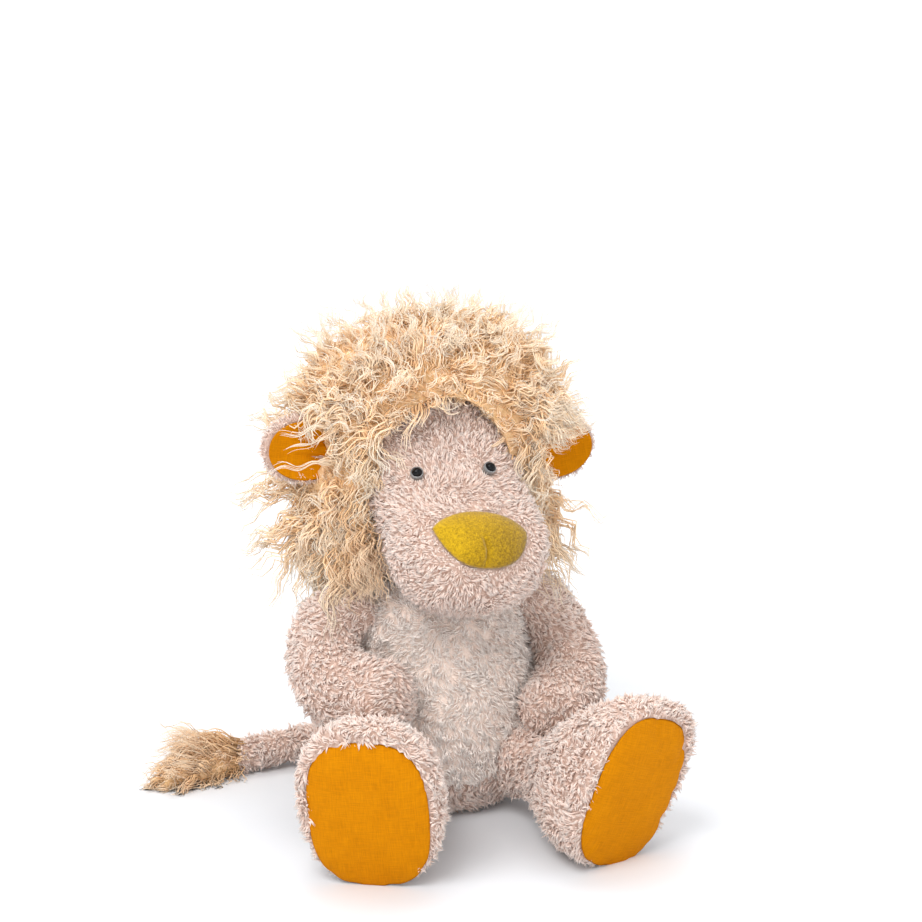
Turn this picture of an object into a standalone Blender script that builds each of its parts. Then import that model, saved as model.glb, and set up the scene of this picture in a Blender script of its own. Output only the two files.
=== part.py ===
"""A seated plush lion: sewn plush covers over soft fillings, a shaggy mane, linen ears and soles.

The lion faces -Y and sits on the plane z = 0. Lengths are metres and angles are degrees.
"left" and "right" are the lion's own, so its right side is at -X.
"""
import math

import bmesh
import bpy
import numpy as np
from mathutils import Matrix, Vector
from mathutils.bvhtree import BVHTree

# Clearances and cloth
SEAM_GAP = 0.0003
SWIVEL_GAP = 0.0007
FLAT_DEPTH = 0.0005
OVERRUN = 0.02
BALL_STEPS = 3
HOLLOW_STEPS = 4
CAP_STEPS = 2
ROUND_SHARE = 2.0
ROD_SIDES = 20
BRACE_SIDES = 16
SHANK_SIDES = 12
MERGE_SHARE = 0.01
COVER_WALL = 0.005
LIMB_WALL = 0.004
TAIL_WALL = 0.003

# Torso
TORSO_HEIGHT = 0.160
TORSO_WIDTH = 0.154
TORSO_FRONT = 0.068
TORSO_BACK = 0.066
TORSO_MIDDLE_Y = 0.004
# height, half width, front depth and back depth at each level of the torso
TORSO_LEVEL_SHARES = (
    (0.000, 0.50, 0.54, 0.58),
    (0.008, 0.68, 0.66, 0.74),
    (0.060, 0.84, 0.82, 0.89),
    (0.180, 0.97, 0.95, 0.98),
    (0.360, 1.00, 1.00, 1.00),
    (0.540, 0.94, 0.95, 0.97),
    (0.700, 0.85, 0.84, 0.88),
    (0.830, 0.78, 0.70, 0.75),
    (0.920, 0.65, 0.56, 0.60),
    (0.975, 0.42, 0.36, 0.38),
)
TORSO_SIDES = 22
TORSO_RINGS = 12

# Neck
NECK_HEIGHT = 0.142
NECK_RADIUS = 0.034
NECK_OPENING_RADIUS = 0.015

# Bib on the belly
BIB_WIDTH = 0.134
BIB_TOP = 0.150
BIB_TIP = 0.028
# level between tip and top, and half width there
BIB_EDGE_SHARES = (
    (0.00, 0.14),
    (0.06, 0.38),
    (0.18, 0.66),
    (0.34, 0.88),
    (0.55, 1.00),
    (0.78, 0.92),
    (1.00, 0.68),
)

# Pouch of pellets in the seat
POUCH_WIDTH = 0.096
POUCH_DEPTH = 0.084
POUCH_HEIGHT = 0.026
POUCH_LEVEL_SHARES = (0.12, 0.28, 0.45, 0.62, 0.80)
POUCH_SWELL_SHARE = 0.7
POUCH_FLOOR_SHARE = 0.33
POUCH_SIDES = 16

# Head
HEAD_LENGTH = 0.174
HEAD_WIDTH = 0.131
HEAD_RISE = 0.068
HEAD_DROP = 0.078
HEAD_BACK_Y = 0.076
HEAD_CENTRE_Z = 0.245
MUZZLE_SINK = 0.053
# place from back to front, half width, height above and below the axis, and how far the axis has sunk
HEAD_STATION_SHARES = (
    (0.030, 0.42, 0.40, 0.34, 0.00),
    (0.100, 0.68, 0.66, 0.58, 0.00),
    (0.220, 0.90, 0.91, 0.80, 0.00),
    (0.360, 1.00, 1.00, 0.94, 0.02),
    (0.470, 0.99, 0.91, 1.00, 0.08),
    (0.555, 0.96, 0.70, 1.00, 0.20),
    (0.650, 0.92, 0.50, 0.94, 0.37),
    (0.750, 0.90, 0.45, 0.77, 0.56),
    (0.840, 0.86, 0.42, 0.61, 0.74),
    (0.915, 0.73, 0.34, 0.45, 0.88),
    (0.965, 0.50, 0.24, 0.31, 0.96),
    (0.990, 0.28, 0.13, 0.17, 0.99),
)
HEAD_FULLNESS_SHARE = 2.25
HEAD_SIDES = 24
HEAD_RINGS = 16

# Nose patch
NOSE_WIDTH = 0.069
NOSE_RISE = 0.009
NOSE_DROP = 0.034
NOSE_PATCH_WALL = 0.003
NOSE_SHIFT = 0.0025
NOSE_CENTRE_Z = 0.227
NOSE_PITCH_ANGLE = 38.0
NOSE_ROLL_ANGLE = 8.0
# how full the patch's upper edge, sides and tip are
NOSE_BROW_SHARE = 0.8
NOSE_SIDE_SHARE = 2.5
NOSE_TIP_SHARE = 0.85
NOSE_SIDES = 26
CREASE_RADIUS = 0.0008
CREASE_LENGTH = 0.018
CREASE_PLACE_SHARES = (0.0, 0.5, 1.0)
CREASE_BEVEL_STEPS = 1

# Eyes
EYE_SPACING = 0.054
EYE_SHIFT = -0.003
EYE_HEIGHT = 0.256
EYE_BEAD_RADIUS = 0.0033
EYE_RING_RADIUS = 0.0043
EYE_RING_HEIGHT = 0.0022
EYE_SHANK_RADIUS = 0.0012
EYE_SHANK_LENGTH = 0.0105
EYE_WASHER_RADIUS = 0.006
EYE_WASHER_WALL = 0.0012
EYE_BEAD_STEPS = 2
EYE_LIP_SHARE = 0.25
EYE_SHANK_CLEARANCE = 0.002

# Mane
MANE_WIDTH = 0.204
MANE_TOP = 0.362
MANE_BOTTOM = 0.180
MANE_FRONT_Y = -0.042
MANE_BACK_Y = 0.104
MANE_OPENING_WIDTH = 0.106
MANE_OPENING_SHIFT = -0.006
MANE_OPENING_TOP = 0.308
MANE_OPENING_RISE_SHARE = 1.15
MANE_OPENING_STEPS = 12
MANE_LOCKS = 13
MANE_LOCK_DEPTH = 0.005
# level from the bottom to the top, and half width and half depth there
MANE_LEVEL_SHARES = (
    (0.04, 0.60, 0.56),
    (0.14, 0.89, 0.80),
    (0.28, 0.98, 0.94),
    (0.44, 0.98, 1.00),
    (0.60, 0.99, 0.98),
    (0.74, 0.97, 0.90),
    (0.86, 0.83, 0.76),
    (0.94, 0.61, 0.56),
    (0.985, 0.34, 0.30),
)
MANE_SIDES = 39
MANE_RINGS = 11

# Ears
# how far the middle of each ear lies inside the mane's side
EAR_SINK = 0.004
EAR_CENTRE_Y = 0.018
EAR_CENTRE_Z = 0.262
# how far the right ear lies above the middle, and the left one below it
EAR_RAISE = 0.006
EAR_WIDTH = 0.062
EAR_HEIGHT = 0.050
EAR_WALL = 0.012
EAR_CUP_RADIUS = 0.080
EAR_BOWL_WALL = 0.017
EAR_CUP_DEPTH = 0.0035
EAR_LINING_WALL = 0.002
EAR_HEM = 0.004
EAR_LIFT_ANGLE = 8.0
EAR_PAD_SHARE = 0.6
EAR_PAD_STEPS = 6
EAR_SIDES = 20
EAR_BAY_RADIUS = 0.024
EAR_BAY_SHIFT = 0.008

# Arms
ARM_RADIUS = 0.025
ARM_WIDTH_SHARES = {
    "right": (0.88, 0.98, 1.06, 1.15, 1.22, 1.24),
    "left": (0.88, 0.97, 1.04, 1.08, 1.08, 1.06),
}
ARM_SIDES = 14
ARM_RINGS = 7
ARM_ROOT_OPENING_RADIUS = 0.010
ARM_REACH = 0.070
SHOULDER_X = 0.068
SHOULDER_Y = 0.002
SHOULDER_Z = 0.149
# places from the shoulder to the paw, outward, forward and down from the shoulder, as shares of the reach
ARM_ROUTE_SHARES = {
    "right": ((0.00, 0.00, 0.00), (0.25, 0.03, 0.15), (0.36, 0.22, 0.42),
              (0.31, 0.49, 0.62), (0.13, 0.74, 0.70), (-0.03, 0.90, 0.73)),
    "left": ((0.00, 0.00, 0.00), (0.21, 0.04, 0.22), (0.35, 0.18, 0.56),
             (0.33, 0.45, 0.84), (0.14, 0.71, 0.97), (-0.04, 0.88, 1.05)),
}
ARM_TWIST_SHARES = (0.0, -1.0, 0.4)
PAW_LENGTH = 0.022
ARM_ROOM = 0.0025
# turns of the arm, outward and forward, that the torso leaves room for
ARM_SWING_ANGLES = (0.0, 18.0, 35.0)

# Legs
HIP_X = 0.048
HIP_Y = -0.048
HIP_Z = 0.040
HIP_RADIUS = 0.030
RIGHT_LEG_LENGTH = 0.119
LEFT_LEG_LENGTH = 0.127
LEG_LENGTHS = {"right": RIGHT_LEG_LENGTH, "left": LEFT_LEG_LENGTH}
FOOT_WIDTH = 0.098
FOOT_HEIGHT = 0.126
FOOT_EDGE = 0.008
# place along the leg, and how far the section has grown from the hip to the foot
LEG_STATION_SHARES = (
    (0.00, -0.30),
    (0.10, -0.30),
    (0.21, -0.28),
    (0.32, -0.16),
    (0.45, 0.18),
    (0.60, 0.58),
    (0.78, 0.88),
    (0.92, 0.98),
    (1.00, 1.00),
)
LEG_SIDES = 18
LEG_RINGS = 8
LEG_SPREAD_ANGLES = {"right": 28.0, "left": 13.0}
FOOT_TURN_ANGLES = {"right": 0.0, "left": 6.0}
LEG_SWING_ANGLES = (-12.0, 2.0, 16.0, 30.0)
FOOT_ROLL_ANGLES = {"right": 2.0, "left": 20.0}
FOOT_PITCH_ANGLE = 14.0
FOOT_FULLNESS_SHARE = 2.4
FOOT_EDGE_SHARES = (0.35, 0.70, 1.00)
SOLE_WIDTH = 0.080
SOLE_HEIGHT = 0.111
SOLE_WALL = 0.0035
SOLE_CROWN = 0.0025
SOLE_DROP = 0.003
# half size of each ring of the sole, and how far out it lies
SOLE_RING_SHARES = ((0.60, 0.0), (0.97, 0.0), (1.00, 0.45), (0.90, 1.0), (0.55, 1.45))
SOLE_TIP_SHARE = 0.5
SOLE_SIDES = 22

# Tail
TAIL_ROOT_Y = 0.070
TAIL_ROOT_Z = 0.026
TAIL_RADIUS = 0.0125
TAIL_ROOT_RADIUS = 0.014
TAIL_LENGTH = 0.130
# places along the tail: to the right, backward from its root, and height, as shares of its length
TAIL_ROUTE_SHARES = ((0.00, 0.00, 0.200), (0.08, 0.12, 0.192), (0.25, 0.23, 0.169), (0.49, 0.25, 0.138),
                     (0.75, 0.24, 0.115), (1.00, 0.215, 0.100))
TAIL_SIDES = 12
TAIL_RINGS = 9
TAIL_ROOT_STEPS = 2
TUFT_LENGTH = 0.066
TUFT_RADIUS = 0.019
TUFT_BEND = 0.012
TUFT_COLLAR_LENGTH = 0.004
TUFT_SIDES = 12
TUFT_GIRTH_SHARES = ((0.00, 0.52), (0.12, 0.66), (0.32, 0.96), (0.55, 1.00), (0.78, 0.80), (0.93, 0.46))
TUFT_FLAT_SHARE = 0.8
TUFT_TIP_SHARE = 0.3
TAIL_CAP_SHARE = 0.5

# Ground that the seat, the feet and the tail rest on
GROUND_REACH = 0.5
GROUND_DEPTH = 0.1

SIDES = {"right": -1.0, "left": 1.0}


# Collections, finishes and objects
def make_collection(name):
    collection = bpy.data.collections.new(name)
    bpy.context.scene.collection.children.link(collection)
    return collection


def make_finish(name, colour, roughness, metallic=0.0, alpha=1.0):
    material = bpy.data.materials.new(name)
    material.use_nodes = True
    shader = material.node_tree.nodes["Principled BSDF"]
    shader.inputs["Base Color"].default_value = (*colour, 1.0)
    shader.inputs["Roughness"].default_value = roughness
    shader.inputs["Metallic"].default_value = metallic
    shader.inputs["Alpha"].default_value = alpha
    material.diffuse_color = (*colour, alpha)
    return material


def make_pivot(name, place, parent=None):
    pivot = bpy.data.objects.new(name, None)
    pivot.empty_display_size = ARM_RADIUS
    pivot.location = place
    if parent is not None:
        pivot.parent = parent
        pivot.location = Vector(place) - parent.matrix_world.translation
    parts.objects.link(pivot)
    bpy.context.view_layer.update()
    return pivot


def make_part(name, mesh, finish, pivot=None):
    """Link a world-space mesh as a part whose origin is its pivot."""
    part = bpy.data.objects.new(name, mesh)
    if pivot is not None:
        mesh.transform(Matrix.Translation(-pivot.matrix_world.translation))
        part.parent = pivot
    mesh.materials.clear()
    mesh.materials.append(finish)
    mesh.shade_smooth()
    parts.objects.link(part)
    return part


def make_cutter(name, mesh):
    cutter = bpy.data.objects.new(name, mesh)
    cutter.hide_render = True
    cutter.display_type = "WIRE"
    cutters.objects.link(cutter)
    return cutter


def combine(target, tool, operation):
    change = target.modifiers.new(operation.lower() + "_" + tool.name, "BOOLEAN")
    change.operation = operation
    change.solver = "EXACT"
    change.object = tool


def cut(target, *tools):
    for tool in tools:
        combine(target, tool, "DIFFERENCE")


# Shapes
def to_mesh(form, name):
    bmesh.ops.recalc_face_normals(form, faces=form.faces)
    if form.calc_volume(signed=True) < 0:
        bmesh.ops.reverse_faces(form, faces=form.faces)
    mesh = bpy.data.meshes.new(name)
    form.to_mesh(mesh)
    form.free()
    return mesh


def smooth_rows(rows, count):
    """Read rows of numbers at count even steps along a smooth curve through them."""
    table = np.array(rows, dtype=float)
    last = len(table) - 1
    padded = np.vstack([2 * table[0] - table[1], table, 2 * table[-1] - table[-2]])
    result = []
    for step in np.linspace(0, last, count):
        index = min(int(step), last - 1)
        t = step - index
        a, b, c, d = padded[index:index + 4]
        bend = 2 * a - 5 * b + 4 * c - d
        twist = 3 * b - 3 * c + d - a
        result.append((2 * b + (c - a) * t + bend * t ** 2 + twist * t ** 3) / 2)
    return np.array(result)


def ring(centre, side, up, half_side, half_up, half_down=None):
    """One section of a soft form: an ellipse whose upper and lower halves may differ."""
    lower = half_up if half_down is None else half_down
    return Vector(centre), Vector(side), Vector(up), half_side, half_up, lower


def soft_form(name, first_pole, rings, last_pole, sides, fullness=ROUND_SHARE):
    """A closed form through the rings, made by moving the rings of a unit sphere.

    A fullness of 2 leaves the sections elliptical, and more squares them off.
    """
    form = bmesh.new()
    bmesh.ops.create_uvsphere(form, u_segments=sides, v_segments=len(rings) + 1, radius=1.0)
    for vertex in form.verts:
        polar = math.acos(max(-1.0, min(1.0, -vertex.co.z)))
        index = round(polar / math.pi * (len(rings) + 1))
        if index == 0:
            vertex.co = first_pole
        elif index == len(rings) + 1:
            vertex.co = last_pole
        else:
            angle = math.atan2(vertex.co.y, vertex.co.x)
            centre, side, up, half_side, half_up, half_down = rings[index - 1]
            swell = (abs(math.cos(angle)) ** fullness + abs(math.sin(angle)) ** fullness) ** (-1 / fullness)
            across = math.cos(angle) * swell * half_side
            rise = math.sin(angle) * swell * (half_up if math.sin(angle) > 0 else half_down)
            vertex.co = centre + side * across + up * rise
    bmesh.ops.triangulate(form, faces=form.faces)
    return to_mesh(form, name)


def offset_mesh(mesh, name, distance):
    """A copy whose surface lies distance outside the old one, or inside it where negative."""
    form = bmesh.new()
    form.from_mesh(mesh)
    form.normal_update()
    places = [vertex.co + vertex.normal * distance for vertex in form.verts]
    for vertex, place in zip(form.verts, places):
        vertex.co = place
    return to_mesh(form, name)


def ball_mesh(name, centre, radius, steps=BALL_STEPS):
    form = bmesh.new()
    bmesh.ops.create_icosphere(form, subdivisions=steps, radius=radius)
    bmesh.ops.translate(form, verts=form.verts, vec=centre)
    return to_mesh(form, name)


def rod_mesh(name, start, end, radius, sides=ROD_SIDES, end_radius=None):
    """A round rod, or a taper, from one point to another."""
    start, end = Vector(start), Vector(end)
    form = bmesh.new()
    last = radius if end_radius is None else end_radius
    length = (end - start).length
    bmesh.ops.create_cone(form, cap_ends=True, segments=sides, radius1=radius, radius2=last, depth=length)
    turn = (end - start).to_track_quat("Z", "Y").to_matrix().to_4x4()
    bmesh.ops.transform(form, verts=form.verts, matrix=Matrix.Translation((start + end) / 2) @ turn)
    return to_mesh(form, name)


def oval_mesh(name, section, centre, depth, half_width, half_height, sides, fullness):
    """A soft-cornered block through centre, lined up with a form's section and depth long in all."""
    side, up = section[1], section[2]
    reach = side.cross(up) * depth / 2
    ends = [ring(place, side, up, half_width, half_height) for place in (centre - reach, centre + reach)]
    return soft_form(name, centre - reach, ends, centre + reach, sides, fullness)


def box_mesh(name, low, high):
    form = bmesh.new()
    bmesh.ops.create_cube(form, size=1.0)
    middle = (Vector(low) + Vector(high)) / 2
    size = Vector(high) - Vector(low)
    bmesh.ops.scale(form, verts=form.verts, vec=size)
    bmesh.ops.translate(form, verts=form.verts, vec=middle)
    return to_mesh(form, name)


def prism_mesh(name, outline, depth, matrix):
    """A flat outline in the local XZ plane, pushed depth along local -Y and then placed."""
    form = bmesh.new()
    corners = [form.verts.new((x, 0.0, z)) for x, z in outline]
    face = form.faces.new(corners)
    pushed = bmesh.ops.extrude_face_region(form, geom=[face])
    moved = [item for item in pushed["geom"] if isinstance(item, bmesh.types.BMVert)]
    bmesh.ops.translate(form, verts=moved, vec=(0.0, -depth, 0.0))
    bmesh.ops.transform(form, verts=form.verts, matrix=matrix)
    return to_mesh(form, name)


def evaluated_tree(mesh):
    form = bmesh.new()
    form.from_mesh(mesh)
    tree = BVHTree.FromBMesh(form)
    form.free()
    return tree


# Torso, bib and seat
def torso_shape(name):
    half_width = TORSO_WIDTH / 2
    levels = smooth_rows(TORSO_LEVEL_SHARES, TORSO_RINGS)
    rings = []
    for height, width, front, back in levels:
        centre = (0.0, TORSO_MIDDLE_Y, height * TORSO_HEIGHT - FLAT_DEPTH)
        depths = back * TORSO_BACK, front * TORSO_FRONT
        rings.append(ring(centre, (1, 0, 0), (0, 1, 0), width * half_width, *depths))
    bottom = (0.0, TORSO_MIDDLE_Y, -FLAT_DEPTH)
    top = (0.0, TORSO_MIDDLE_Y, TORSO_HEIGHT)
    return soft_form(name, bottom, rings, top, TORSO_SIDES)


def bib_outline(inset):
    height = BIB_TOP - BIB_TIP
    half = [(wide * BIB_WIDTH / 2 - inset, BIB_TIP + level * height) for level, wide in BIB_EDGE_SHARES]
    half[0] = (half[0][0], half[0][1] + inset)
    half[-1] = (half[-1][0], half[-1][1] - inset)
    return half + [(-x, z) for x, z in reversed(half)]


def build_torso():
    outer = torso_shape("torso_outline")
    neck_centre = Vector((0.0, TORSO_MIDDLE_Y, NECK_HEIGHT))
    dome_outer = make_cutter("neck_dome", ball_mesh("neck_dome", neck_centre, NECK_RADIUS))
    inner_radius = NECK_RADIUS - COVER_WALL
    dome_inner = make_cutter("neck_dome_inside", ball_mesh("neck_dome_inside", neck_centre, inner_radius))
    cavity = make_cutter("torso_cavity", offset_mesh(outer, "torso_cavity", -COVER_WALL))
    combine(cavity, dome_inner, "UNION")
    above = neck_centre + Vector((0.0, 0.0, NECK_RADIUS + OVERRUN))
    mouth = make_cutter("neck_opening", rod_mesh("neck_opening", neck_centre, above, NECK_OPENING_RADIUS))

    front = Matrix.Translation((0.0, TORSO_MIDDLE_Y, 0.0))
    reach = TORSO_FRONT + OVERRUN
    bib_hole = make_cutter("bib_hole", prism_mesh("bib_hole", bib_outline(0.0), reach, front))
    bib_cut = make_cutter("bib_cut", prism_mesh("bib_cut", bib_outline(SEAM_GAP), reach, front))

    skin = make_part("body_skin", outer.copy(), plush)
    combine(skin, dome_outer, "UNION")
    cut(skin, cavity, mouth, bib_hole, floor)

    bib = make_part("belly_bib", outer.copy(), bib_plush)
    combine(bib, bib_cut, "INTERSECT")
    cut(bib, cavity)

    filling_mesh = offset_mesh(outer, "body_stuffing", -COVER_WALL - SEAM_GAP)
    filling = make_part("body_stuffing", filling_mesh, stuffing)
    neck_socket = make_cutter("neck_socket", ball_mesh("neck_socket", neck_centre, inner_radius))
    cut(filling, neck_socket)

    pouch = make_part("seat_pellet_pouch", pouch_shape("seat_pellet_pouch"), pouch_cloth)
    nest = make_cutter("pouch_nest", offset_mesh(pouch.data, "pouch_nest", SEAM_GAP))
    across, deep = POUCH_WIDTH * POUCH_FLOOR_SHARE, POUCH_DEPTH * POUCH_FLOOR_SHARE
    high = COVER_WALL + POUCH_HEIGHT * POUCH_FLOOR_SHARE
    nest_floor = box_mesh("pouch_nest_floor", (-across, -deep, 0.0), (across, deep, high))
    cut(filling, nest, make_cutter("pouch_nest_floor", nest_floor))
    return outer, skin, bib, filling


def pouch_shape(name):
    """A loose round pouch that lies on the seat cover inside the torso."""
    low = COVER_WALL + SEAM_GAP
    rings = []
    for level_share in POUCH_LEVEL_SHARES:
        angle = level_share * math.pi
        spread = math.sin(angle) ** POUCH_SWELL_SHARE
        centre = (0.0, TORSO_MIDDLE_Y, low + POUCH_HEIGHT * (1 - math.cos(angle)) / 2)
        rings.append(ring(centre, (1, 0, 0), (0, 1, 0), spread * POUCH_WIDTH / 2, spread * POUCH_DEPTH / 2))
    top = (0.0, TORSO_MIDDLE_Y, low + POUCH_HEIGHT)
    return soft_form(name, (0.0, TORSO_MIDDLE_Y, low), rings, top, POUCH_SIDES)


# Head
def head_shape(name):
    rings = []
    for place, width, rise, drop, sink in smooth_rows(HEAD_STATION_SHARES, HEAD_RINGS):
        centre = (0.0, HEAD_BACK_Y - place * HEAD_LENGTH, HEAD_CENTRE_Z - sink * MUZZLE_SINK)
        heights = rise * HEAD_RISE, drop * HEAD_DROP
        rings.append(ring(centre, (1, 0, 0), (0, 0, 1), width * HEAD_WIDTH / 2, *heights))
    back = (0.0, HEAD_BACK_Y, HEAD_CENTRE_Z)
    front = (0.0, HEAD_BACK_Y - HEAD_LENGTH, HEAD_CENTRE_Z - MUZZLE_SINK)
    return soft_form(name, back, rings, front, HEAD_SIDES, HEAD_FULLNESS_SHARE)


def build_head(pivot):
    outer = head_shape("head_outline")
    neck_centre = Vector((0.0, TORSO_MIDDLE_Y, NECK_HEIGHT))
    cup = make_cutter("neck_cup", ball_mesh("neck_cup", neck_centre, NECK_RADIUS + SWIVEL_GAP))
    cavity = make_cutter("head_cavity", offset_mesh(outer, "head_cavity", -COVER_WALL))
    skin = make_part("head_skin", outer.copy(), plush, pivot)
    cut(skin, cavity, cup)
    filling_mesh = offset_mesh(outer, "head_stuffing", -COVER_WALL - SEAM_GAP)
    filling = make_part("head_stuffing", filling_mesh, stuffing, pivot)
    inner_radius = NECK_RADIUS + SWIVEL_GAP + SEAM_GAP
    inner_cup = make_cutter("neck_cup_inside", ball_mesh("neck_cup_inside", neck_centre, inner_radius))
    cut(filling, inner_cup)
    build_nose(outer, pivot)
    for side in SIDES:
        build_eye(side, outer, skin, filling, pivot)
    return outer, skin


def nose_outline():
    """A rounded triangle that hangs point down from its bowed upper edge."""
    points = []
    for index in range(NOSE_SIDES):
        angle = 2 * math.pi * index / NOSE_SIDES
        across = math.cos(angle)
        if math.sin(angle) > 0:
            height = NOSE_RISE * math.sin(angle) ** NOSE_BROW_SHARE
        else:
            height = -NOSE_DROP * max(1 - abs(across) ** NOSE_SIDE_SHARE, 0.0) ** NOSE_TIP_SHARE
        points.append((across * NOSE_WIDTH / 2, height))
    return points


def build_nose(head, pivot):
    tree = evaluated_tree(head)
    place = tree.ray_cast(Vector((NOSE_SHIFT, -HEAD_LENGTH, NOSE_CENTRE_Z)), Vector((0, 1, 0)))[0]
    pitch = Matrix.Rotation(math.radians(-NOSE_PITCH_ANGLE), 4, "X")
    tilt = pitch @ Matrix.Rotation(math.radians(NOSE_ROLL_ANGLE), 4, "Y")
    behind = Matrix.Translation(place) @ tilt @ Matrix.Translation((0.0, NOSE_DROP, 0.0))
    area = make_cutter("nose_area", prism_mesh("nose_area", nose_outline(), NOSE_DROP + OVERRUN, behind))
    under = make_cutter("nose_underside", offset_mesh(head, "nose_underside", SEAM_GAP))
    patch = make_part("nose_patch", offset_mesh(head, "nose_patch", NOSE_PATCH_WALL), felt, pivot)
    combine(patch, area, "INTERSECT")
    cut(patch, under)

    surface = evaluated_tree(offset_mesh(head, "crease_guide", NOSE_PATCH_WALL))
    direction = tilt @ Vector((0, 1, 0))
    down = tilt @ Vector((0, 0, -1))
    points = []
    for share in CREASE_PLACE_SHARES:
        reach = NOSE_DROP - CREASE_LENGTH * (1 - share) - NOSE_PATCH_WALL
        start = place + down * reach - direction * NOSE_WIDTH
        hit, normal = surface.ray_cast(start, direction)[:2]
        points.append(hit + normal * (CREASE_RADIUS + SEAM_GAP))
    thread = tube_mesh("nose_stitch", points, CREASE_RADIUS)
    make_part("nose_stitch", thread, thread_finish, pivot)


def tube_mesh(name, points, radius):
    """A round tube along a few points, as a curve with a bevel and filled caps."""
    curve = bpy.data.curves.new(name, "CURVE")
    curve.dimensions = "3D"
    curve.bevel_depth = radius
    curve.bevel_resolution = CREASE_BEVEL_STEPS
    curve.use_fill_caps = True
    line = curve.splines.new("POLY")
    line.points.add(len(points) - 1)
    for target, point in zip(line.points, points):
        target.co = (*point, 1)
    guide = bpy.data.objects.new(name, curve)
    parts.objects.link(guide)
    bpy.context.view_layer.update()
    mesh = bpy.data.meshes.new_from_object(guide.evaluated_get(bpy.context.evaluated_depsgraph_get()))
    bpy.data.objects.remove(guide)
    form = bmesh.new()
    form.from_mesh(mesh)
    bmesh.ops.remove_doubles(form, verts=form.verts, dist=radius * MERGE_SHARE)
    return to_mesh(form, name)


def build_eye(side, head, skin, filling, pivot):
    """A glass eye: a black bead on a shank, a clear ring round it and a lock washer inside."""
    tree = evaluated_tree(head)
    start = Vector((SIDES[side] * EYE_SPACING / 2 + EYE_SHIFT, -HEAD_LENGTH, EYE_HEIGHT))
    place, normal = tree.ray_cast(start, Vector((0, 1, 0)))[:2]
    shank_end = place - normal * EYE_SHANK_LENGTH
    ring_start = place - normal * EYE_RING_HEIGHT / 2
    ring_end = place + normal * EYE_RING_HEIGHT / 2
    ring_lip = EYE_BEAD_RADIUS + EYE_SHANK_RADIUS * EYE_LIP_SHARE

    def rod_cutter(name, first, last, radius, sides):
        return make_cutter(side + name, rod_mesh(side + name, first, last, radius, sides))

    bead_mesh = ball_mesh(side + "_eye", place, EYE_BEAD_RADIUS, EYE_BEAD_STEPS)
    bead = make_part(side + "_eye", bead_mesh, bead_black, pivot)
    combine(bead, rod_cutter("_eye_shank", place, shank_end, EYE_SHANK_RADIUS, SHANK_SIDES), "UNION")

    rim_mesh = rod_mesh(side + "_eye_ring", ring_start, ring_end, EYE_RING_RADIUS, ROD_SIDES, ring_lip)
    rim = make_part(side + "_eye_ring", rim_mesh, clear_glass, pivot)
    room_mesh = ball_mesh(side + "_bead_room", place, EYE_BEAD_RADIUS + SEAM_GAP, EYE_BEAD_STEPS)
    bead_room = make_cutter(side + "_bead_room", room_mesh)
    room_end = shank_end - normal * EYE_SHANK_CLEARANCE
    shank_room = rod_cutter("_shank_room", place, room_end, EYE_SHANK_RADIUS + SEAM_GAP, SHANK_SIDES)
    cut(rim, bead_room)

    washer_top = place - normal * (COVER_WALL + SEAM_GAP)
    washer_end = washer_top - normal * EYE_WASHER_WALL
    washer_mesh = rod_mesh(side + "_eye_washer", washer_top, washer_end, EYE_WASHER_RADIUS, BRACE_SIDES)
    washer = make_part(side + "_eye_washer", washer_mesh, washer_finish, pivot)
    cut(washer, shank_room)

    nest_radius = EYE_WASHER_RADIUS + SEAM_GAP
    seat_start, seat_end = ring_start - normal * SEAM_GAP, ring_end + normal * OVERRUN
    ring_seat = rod_cutter("_ring_seat", seat_start, seat_end, EYE_RING_RADIUS + SEAM_GAP, ROD_SIDES)
    nest_top, nest_end = washer_top + normal * SEAM_GAP, washer_end - normal * SEAM_GAP
    washer_seat = rod_cutter("_washer_seat", nest_top, nest_end, nest_radius, BRACE_SIDES)
    washer_nest = rod_cutter("_washer_nest", place, nest_end, nest_radius, BRACE_SIDES)
    cut(skin, ring_seat, bead_room, shank_room, washer_seat)
    cut(filling, washer_nest, shank_room)


# Mane and ears
def mane_shape(name):
    middle_y = (MANE_FRONT_Y + MANE_BACK_Y) / 2
    half_depth = (MANE_BACK_Y - MANE_FRONT_Y) / 2
    low = MANE_BOTTOM - OVERRUN
    height = MANE_TOP - low
    rings = []
    for level, width, depth in smooth_rows(MANE_LEVEL_SHARES, MANE_RINGS):
        centre = (0.0, middle_y, low + level * height)
        rings.append(ring(centre, (1, 0, 0), (0, 1, 0), width * MANE_WIDTH / 2, depth * half_depth))
    mesh = soft_form(name, (0.0, middle_y, low), rings, (0.0, middle_y, MANE_TOP), MANE_SIDES)
    for vertex in mesh.vertices:
        outward = Vector((vertex.co.x, vertex.co.y - middle_y, 0.0))
        if outward.length > MANE_LOCK_DEPTH:
            turn = math.atan2(outward.y, outward.x)
            lean = (vertex.co.z - low) / height * math.pi
            dent = MANE_LOCK_DEPTH * (math.cos(MANE_LOCKS * turn + lean) - 1) / 2
            vertex.co += outward.normalized() * dent
    return mesh


def mane_opening(name):
    """The oval round the face, carried down past the chin."""
    half = MANE_OPENING_WIDTH / 2
    middle = MANE_OPENING_SHIFT
    shoulder = MANE_OPENING_TOP - half * MANE_OPENING_RISE_SHARE
    low = MANE_BOTTOM - OVERRUN
    points = [(middle - half, low)]
    for index in range(MANE_OPENING_STEPS + 1):
        angle = math.pi * (1 - index / MANE_OPENING_STEPS)
        rise = (MANE_OPENING_TOP - shoulder) * math.sin(angle)
        points.append((middle + half * math.cos(angle), shoulder + rise))
    points.append((middle + half, low))
    return prism_mesh(name, points, HEAD_LENGTH, Matrix.Identity(4))


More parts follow.
